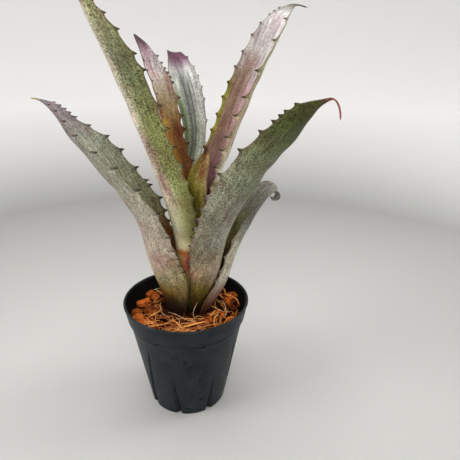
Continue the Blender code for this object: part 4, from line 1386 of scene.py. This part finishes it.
# The back right leaf: long, with its channel open to the viewer, mauve inside and whitish along
# its middle, with a painted whitish highlight in a band along its inner face, a yellow-green left
# margin and a black curled tip.
back_right = make_leaf(
    "back_right_blade",
    leaf_skin("back_right_living_leaf", "#43302c", 0.35, "#e2ccd4", 0.7, 0.28, 0.4),
    lean=35,
    stations=[
        (9, 9, 78, 7, 52, 0),
        (10, 10, 90, 9, 55, 0),
        (12, 10, 108, 11, 62, 0),
        (14, 11, 132, 12, 68, 0),
        (17, 12, 157, 12, 70, 0),
        (23, 17, 175, 16, 70, -4),
        (32, 24, 197, 17, 65, -8),
        (41, 32, 221, 17, 60, -3),
        (51, 39, 244, 16, 55, 1),
        (60, 45, 263, 12, 50, 10),
        (67, 49, 274, 6, 42, 13),
        (72, 51, 278, 2, 35, 12),
        (81, 53, 277, 0.5, 30, 8),
    ],
    margins=[
        {
            "spines": (74, 86, 98, 110, 119, 134, 147, 166, 188, 205),
            "size": 1.1,
            "lean": -0.2,
            "curl": 95.0,
        },
        {
            "spines": (72, 84, 96, 109, 122, 134, 146, 156, 167, 178, 190, 199, 206, 209, 212),
            "size": 0.75,
            "lean": -0.1,
            "curl": 45.0,
        },
    ],
    inner={
        "ground": [
            (0, "#2a1a10"),
            (0.3, "#3a2420"),
            (0.42, "#502c3a"),
            (0.5, "#845c6c"),
            (0.6, "#a88c90"),
            (0.72, "#a89e9c"),
            (0.84, "#aca6a4"),
            (0.92, "#cac6c4"),
            (0.96, "#5c5a4e"),
            (1, "#24241a"),
        ],
        "stripes": [
            ("#6e5434", 0.7, 0.35, 0.35, 0.72, 0.7),
            ("#c094a8", -0.1, 0.4, 0.4, 0.7, 0.6),
            ("#8f9a10", 0.97, 0.1, 0.5, 0.7, 0.9),
            ("#6a5040", 0.5, 0.35, 0.36, 0.78, 0.75),
            # A painted highlight: a whitish band along the inner face.
            ("#ece4e6", -0.45, 0.16, 0.5, 0.92, 0.6),
        ],
        "patches": [("#6a3f5a", 0.43, -0.2, 0.05, 0.5, 0.4)],
    },
    outer={
        "ground": [
            (0, "#4a3a20"),
            (0.25, "#9c8e70"),
            (0.42, "#dcd2c0"),
            (0.6, "#ae9288"),
            (0.75, "#928c76"),
            (0.92, "#a8a8a2"),
            (1, "#24241a"),
        ],
        "stripes": [("#a8a878", -0.9, 0.15, 0.3, 0.9, 0.5)],
    },
    rim=("#6a5a30", 0.4),
    seed=5,
)
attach(back_right, "root")
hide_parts("leaf_back_right")

# The back left leaf: narrow, rust brown and gold below, mauve above, with a dark purple point.
# It stands behind the tallest leaf with its channel open to the viewer.
back_left = make_leaf(
    "back_left_blade",
    leaf_skin("back_left_living_leaf", "#3c1c14", 0.5, "#dca8b0", 0.7, 0.4, 0.46),
    lean=150,
    stations=[
        (-2, 8, 82, 6, 58, 0),
        (-3, 9, 92, 5, 50, 0),
        (-3, 11, 110, 5, 46, 0),
        (-4, 13, 135, 6, 52, 0),
        (-4, 14, 158, 11, 58, 2),
        (-9, 20, 184, 12, 52, 5),
        (-14, 25, 206, 12, 46, 2),
        (-18, 30, 227, 10, 43, -6),
        (-24, 33, 241, 7, 42, -13),
        (-29, 35, 252, 4, 40, -13),
        (-34, 37, 259, 0.5, 30, -13),
    ],
    margins=[
        {
            "spines": (84, 96, 108, 118, 128, 140, 149, 152, 155, 158, 162, 167),
            "size": 0.9,
            "lean": 0.0,
            "curl": 0.0,
        },
        {"spines": (86, 98, 112, 127, 142, 151, 159, 166), "size": 0.6, "lean": 0.0, "curl": 60.0},
    ],
    inner={
        "ground": [
            (0, "#2c1c08"),
            (0.4, "#4a3010"),
            (0.52, "#86580e"),
            (0.62, "#886028"),
            (0.73, "#96825c"),
            (0.86, "#c8c0bc"),
            (0.93, "#a8929a"),
            (0.98, "#4e3a44"),
            (1, "#4e3a44"),
        ],
        "stripes": [
            ("#d4a63c", 0.25, 0.35, 0.44, 0.7, 0.9),
            ("#5e3614", -0.7, 0.35, 0.4, 0.68, 0.75),
            ("#9a6a78", 0.1, 0.14, 0.82, 0.96, 0.6),
        ],
        "patches": [("#7a1f30", 0.56, 0.6, 0.014, 0.22, 0.9), ("#a06a68", 0.7, 0.8, 0.02, 0.3, 0.5)],
    },
    outer={
        "ground": [
            (0, "#3c2c10"),
            (0.5, "#80643c"),
            (0.8, "#a89c90"),
            (1, "#3a2028"),
        ],
    },
    rim=("#5a3428", 0.45),
    seed=6,
)
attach(back_left, "root")
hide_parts("leaf_back_left")

# The back leaf: silver grey with dark lengthwise streaks, green along its left, bent back at the
# top so that its purple end shows.
back = make_leaf(
    "back_blade",
    leaf_skin("back_living_leaf", "#34382f", 0.6, "#dcd0dc", 0.4, 0.24, 0.5),
    lean=95,
    stations=[
        (2, 14, 72, 7, 48, 0),
        (2, 16, 84, 9, 50, 0),
        (2, 18, 108, 9, 52, 0),
        (2, 22, 138, 8, 55, 0),
        (1, 28, 169, 6, 52, 7),
        (4, 36, 188, 8, 50, 14),
        (3, 42, 205, 10, 45, 15),
        (-1, 48, 221, 11, 40, 13),
        (-6, 54, 235, 10, 36, 13),
        (-9, 60, 243, 7, 32, 11),
        (-12, 68, 247, 5, 30, 7),
        (-13, 76, 243, 3, 30, 3),
        (-14, 80, 237, 0.5, 30, 0),
    ],
    margins=[
        {
            "spines": (92, 105, 119, 133, 147, 155, 163, 171, 180),
            "size": 0.6,
            "lean": 0.2,
            "curl": 30.0,
        },
        {"spines": (90, 104, 118, 132, 145, 157, 168, 178), "size": 0.15, "lean": 0.2, "curl": 30.0},
    ],
    inner={
        "ground": [
            (0, "#3a3018"),
            (0.42, "#5c5e3a"),
            (0.55, "#80846a"),
            (0.68, "#a4a498"),
            (0.8, "#b8bab2"),
            (0.83, "#a8a0a4"),
            (0.875, "#5a3448"),
            (1, "#48283a"),
        ],
        "stripes": [
            ("#46582e", 0.75, 0.35, 0.45, 0.74, 0.85),
            ("#d4d4cc", -0.6, 0.3, 0.5, 0.86, 0.6),
            ("#3c403a", 0.12, 0.12, 0.45, 0.82, 0.85),
            ("#40443e", -0.18, 0.08, 0.45, 0.8, 0.8),
            ("#666a62", -0.42, 0.04, 0.5, 0.8, 0.6),
            ("#b0b8a0", 0.8, 0.3, 0.72, 0.86, 0.5),
        ],
    },
    outer={
        "ground": [
            (0, "#3a3018"),
            (0.3, "#7a7858"),
            (0.82, "#b0b0a6"),
            (0.89, "#805c6a"),
            (1, "#684456"),
        ],
    },
    rim=("#5a5448", 0.4),
    seed=7,
)
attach(back, "root")
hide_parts("leaf_back")

# The heart leaf: the youngest, rolled nearly to a tube, olive with a golden right edge, made paler
# with painted light where the blade turns into shade, and a purple-black point.
heart = make_leaf(
    "heart_blade",
    leaf_skin("heart_living_leaf", "#3a1c0c", 0.7, "#f0ccb4", 0.5, 0.36, 0.42),
    lean=-80,
    stations=[
        (4, 1, 88, 5, 80, 0),
        (6, 2, 108, 6, 85, 0),
        (8, 3, 128, 7, 92, 0),
        (10, 4, 147, 7, 98, 2),
        (10, 4, 160, 10, 100, 4),
        (10, 5, 170, 10, 92, 4),
        (13, 6, 180, 6, 80, 0),
        (15, 7, 191, 0.5, 60, 0),
    ],
    margins=[
        {"spines": (62, 70, 78, 86), "size": 0.4, "lean": 0.0, "curl": 0.0},
        {"spines": (60, 69, 77, 85, 92), "size": 0.4, "lean": 0.0, "curl": 0.0},
    ],
    inner={
        "ground": [
            (0, "#3a3208"),
            (0.6, "#5c4a1a"),
            (1, "#3a2028"),
        ],
    },
    outer={
        "ground": [
            (0, "#342a0c"),
            (0.45, "#5a5216"),
            (0.65, "#847a2c"),
            (0.82, "#a08e4c"),
            (0.92, "#865a3c"),
            (1, "#36180e"),
        ],
        # The first stripe is the golden edge with painted light on it, near white.
        "stripes": [("#ffe8ac", 0.62, 0.42, 0.5, 0.97, 1.0), ("#5c5814", -0.6, 0.4, 0.4, 0.96, 0.7)],
        "patches": [("#a03c30", 0.84, 0.15, 0.04, 0.2, 0.7)],
    },
    rim=("#b0a060", 0.3),
    seed=8,
)
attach(heart, "root")
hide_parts("leaf_heart")

# The studio: a round sweep of matt grey paper that rises to a wall all round, four large soft
# lights (overhead, left, right and front) and a camera at the height of the leaves.
SWEEP_FLOOR_ROWS = [60, 200, 450]
SWEEP_FLOOR_RADIUS = 700.0
SWEEP_CURVE_RADIUS = 900.0
SWEEP_CURVE_ROWS = 24
SWEEP_TOP = 2400.0
SWEEP_COLUMNS = 128
# Each light: name, place, the point it faces, width and height, all in metres, and watts.
STUDIO_LIGHTS = [
    ("overhead_light", (-0.05, 0.1, 1.2), (0.0, 0.0, 0.1), 0.9, 0.9, 8.8),
    ("left_light", (-0.75, -0.3, 0.56), (0.0, 0.0, 0.15), 0.45, 0.6, 4.9),
    ("right_light", (0.79, 0.22, 0.6), (0.0, 0.0, 0.15), 0.38, 0.6, 3.7),
    ("front_light", (0.075, -0.92, 0.77), (0.0, -0.1, 0.05), 0.75, 0.52, 5.0),
]
AIR_GLOW = 0.24
CAMERA_PLACE = (0.031, -0.292, 0.255)
CAMERA_DIP = 22.2
CAMERA_ROLL = 0.8
CAMERA_LENS = 36.08
CAMERA_SENSOR = 36.0

# The sweep's profile is a flat floor, a quarter circle and an upright wall, carried round Z and
# left open at the top, with its inner side shown.
sweep_angle = np.radians(np.linspace(-90, 0, SWEEP_CURVE_ROWS))
sweep_curve_radius = SWEEP_FLOOR_RADIUS + SWEEP_CURVE_RADIUS * np.cos(sweep_angle)
sweep_curve_height = SWEEP_CURVE_RADIUS * (1 + np.sin(sweep_angle))
sweep_wall = SWEEP_FLOOR_RADIUS + SWEEP_CURVE_RADIUS
sweep_radius = np.concatenate([SWEEP_FLOOR_ROWS, sweep_curve_radius, [sweep_wall]])
sweep_height = np.concatenate([0 * np.array(SWEEP_FLOOR_ROWS), sweep_curve_height, [SWEEP_TOP]])
sweep_turn = np.linspace(0, 2 * np.pi, SWEEP_COLUMNS, endpoint=False)
sweep_x = sweep_radius[:, None] * np.cos(sweep_turn)
sweep_y = sweep_radius[:, None] * np.sin(sweep_turn)
sweep_z = sweep_height[:, None] + 0 * sweep_turn
sweep_rings = np.stack([sweep_x, sweep_y, sweep_z], axis=-1).reshape(-1, 3)
sweep_points = np.concatenate([[[0, 0, 0]], sweep_rings])
closed_faces = shell_faces(len(sweep_radius), SWEEP_COLUMNS)
sweep_faces = [face[::-1] for face in closed_faces if max(face) < len(sweep_points)]
sweep_steps = np.hypot(np.diff(sweep_radius), np.diff(sweep_height))
sweep_run = np.repeat(SWEEP_FLOOR_ROWS[0] + np.append(0, np.cumsum(sweep_steps)), SWEEP_COLUMNS)

# Matt paper: its grey darkens from the middle of the floor outwards as painted shade, and turns near
# white up the wall as painted light. The attribute "run" is the way along the paper from the middle, in
# metres.
paper, paper_shader = new_material("matt_backdrop_paper")
paper_run = add_node(paper, "Attribute", {}, attribute_name="run")["Fac"]
floor_share = add_node(paper, "MapRange", {"Value": paper_run, "From Min": 0.15, "From Max": 0.5})["Result"]
wall_share = add_node(paper, "MapRange", {"Value": paper_run, "From Min": 0.5, "From Max": 1.1})["Result"]
floor_colour_and_shade = add_node(
    paper, "Mix", {"Factor": floor_share, "A": linear("#b0afac"), "B": linear("#92918e")}, data_type="RGBA"
)["Result"]
paper_colour_and_light = add_node(
    paper, "Mix", {"Factor": wall_share, "A": floor_colour_and_shade, "B": linear("#f4f3f1")}, data_type="RGBA"
)["Result"]
set_inputs(paper, paper_shader, {"Base Color": paper_colour_and_light, "Roughness": 0.9})
sweep = make_piece("studio_sweep", sweep_points, sweep_faces, paper, sharp_angle=60)
set_attribute(sweep, "run", "FLOAT", np.append(0, sweep_run) * MM)

world = bpy.data.worlds.new("studio_air")
world.use_nodes = True
world_light = world.node_tree.nodes["Background"]
set_inputs(world, world_light, {"Color": linear("#f4f6fa"), "Strength": AIR_GLOW})
bpy.context.scene.world = world

for name, place, target, width, height, power in STUDIO_LIGHTS:
    lamp = bpy.data.lights.new(name, "AREA")
    lamp.shape = "RECTANGLE"
    lamp.size = width
    lamp.size_y = height
    lamp.energy = power
    light = new_object(name, lamp)
    light.location = place
    light.rotation_euler = (Vector(place) - Vector(target)).to_track_quat("Z", "Y").to_euler()

camera_data = bpy.data.cameras.new("studio_camera")
camera_data.lens = CAMERA_LENS
camera_data.sensor_width = CAMERA_SENSOR
camera_data.clip_start = 0.01
camera = new_object("studio_camera", camera_data)
camera.matrix_world = (
    Matrix.Translation(CAMERA_PLACE)
    @ Matrix.Rotation(math.radians(90 - CAMERA_DIP), 4, "X")
    @ Matrix.Rotation(math.radians(CAMERA_ROLL), 4, "Z")
)
bpy.context.scene.camera = camera
bpy.context.scene.view_settings.view_transform = "Standard"
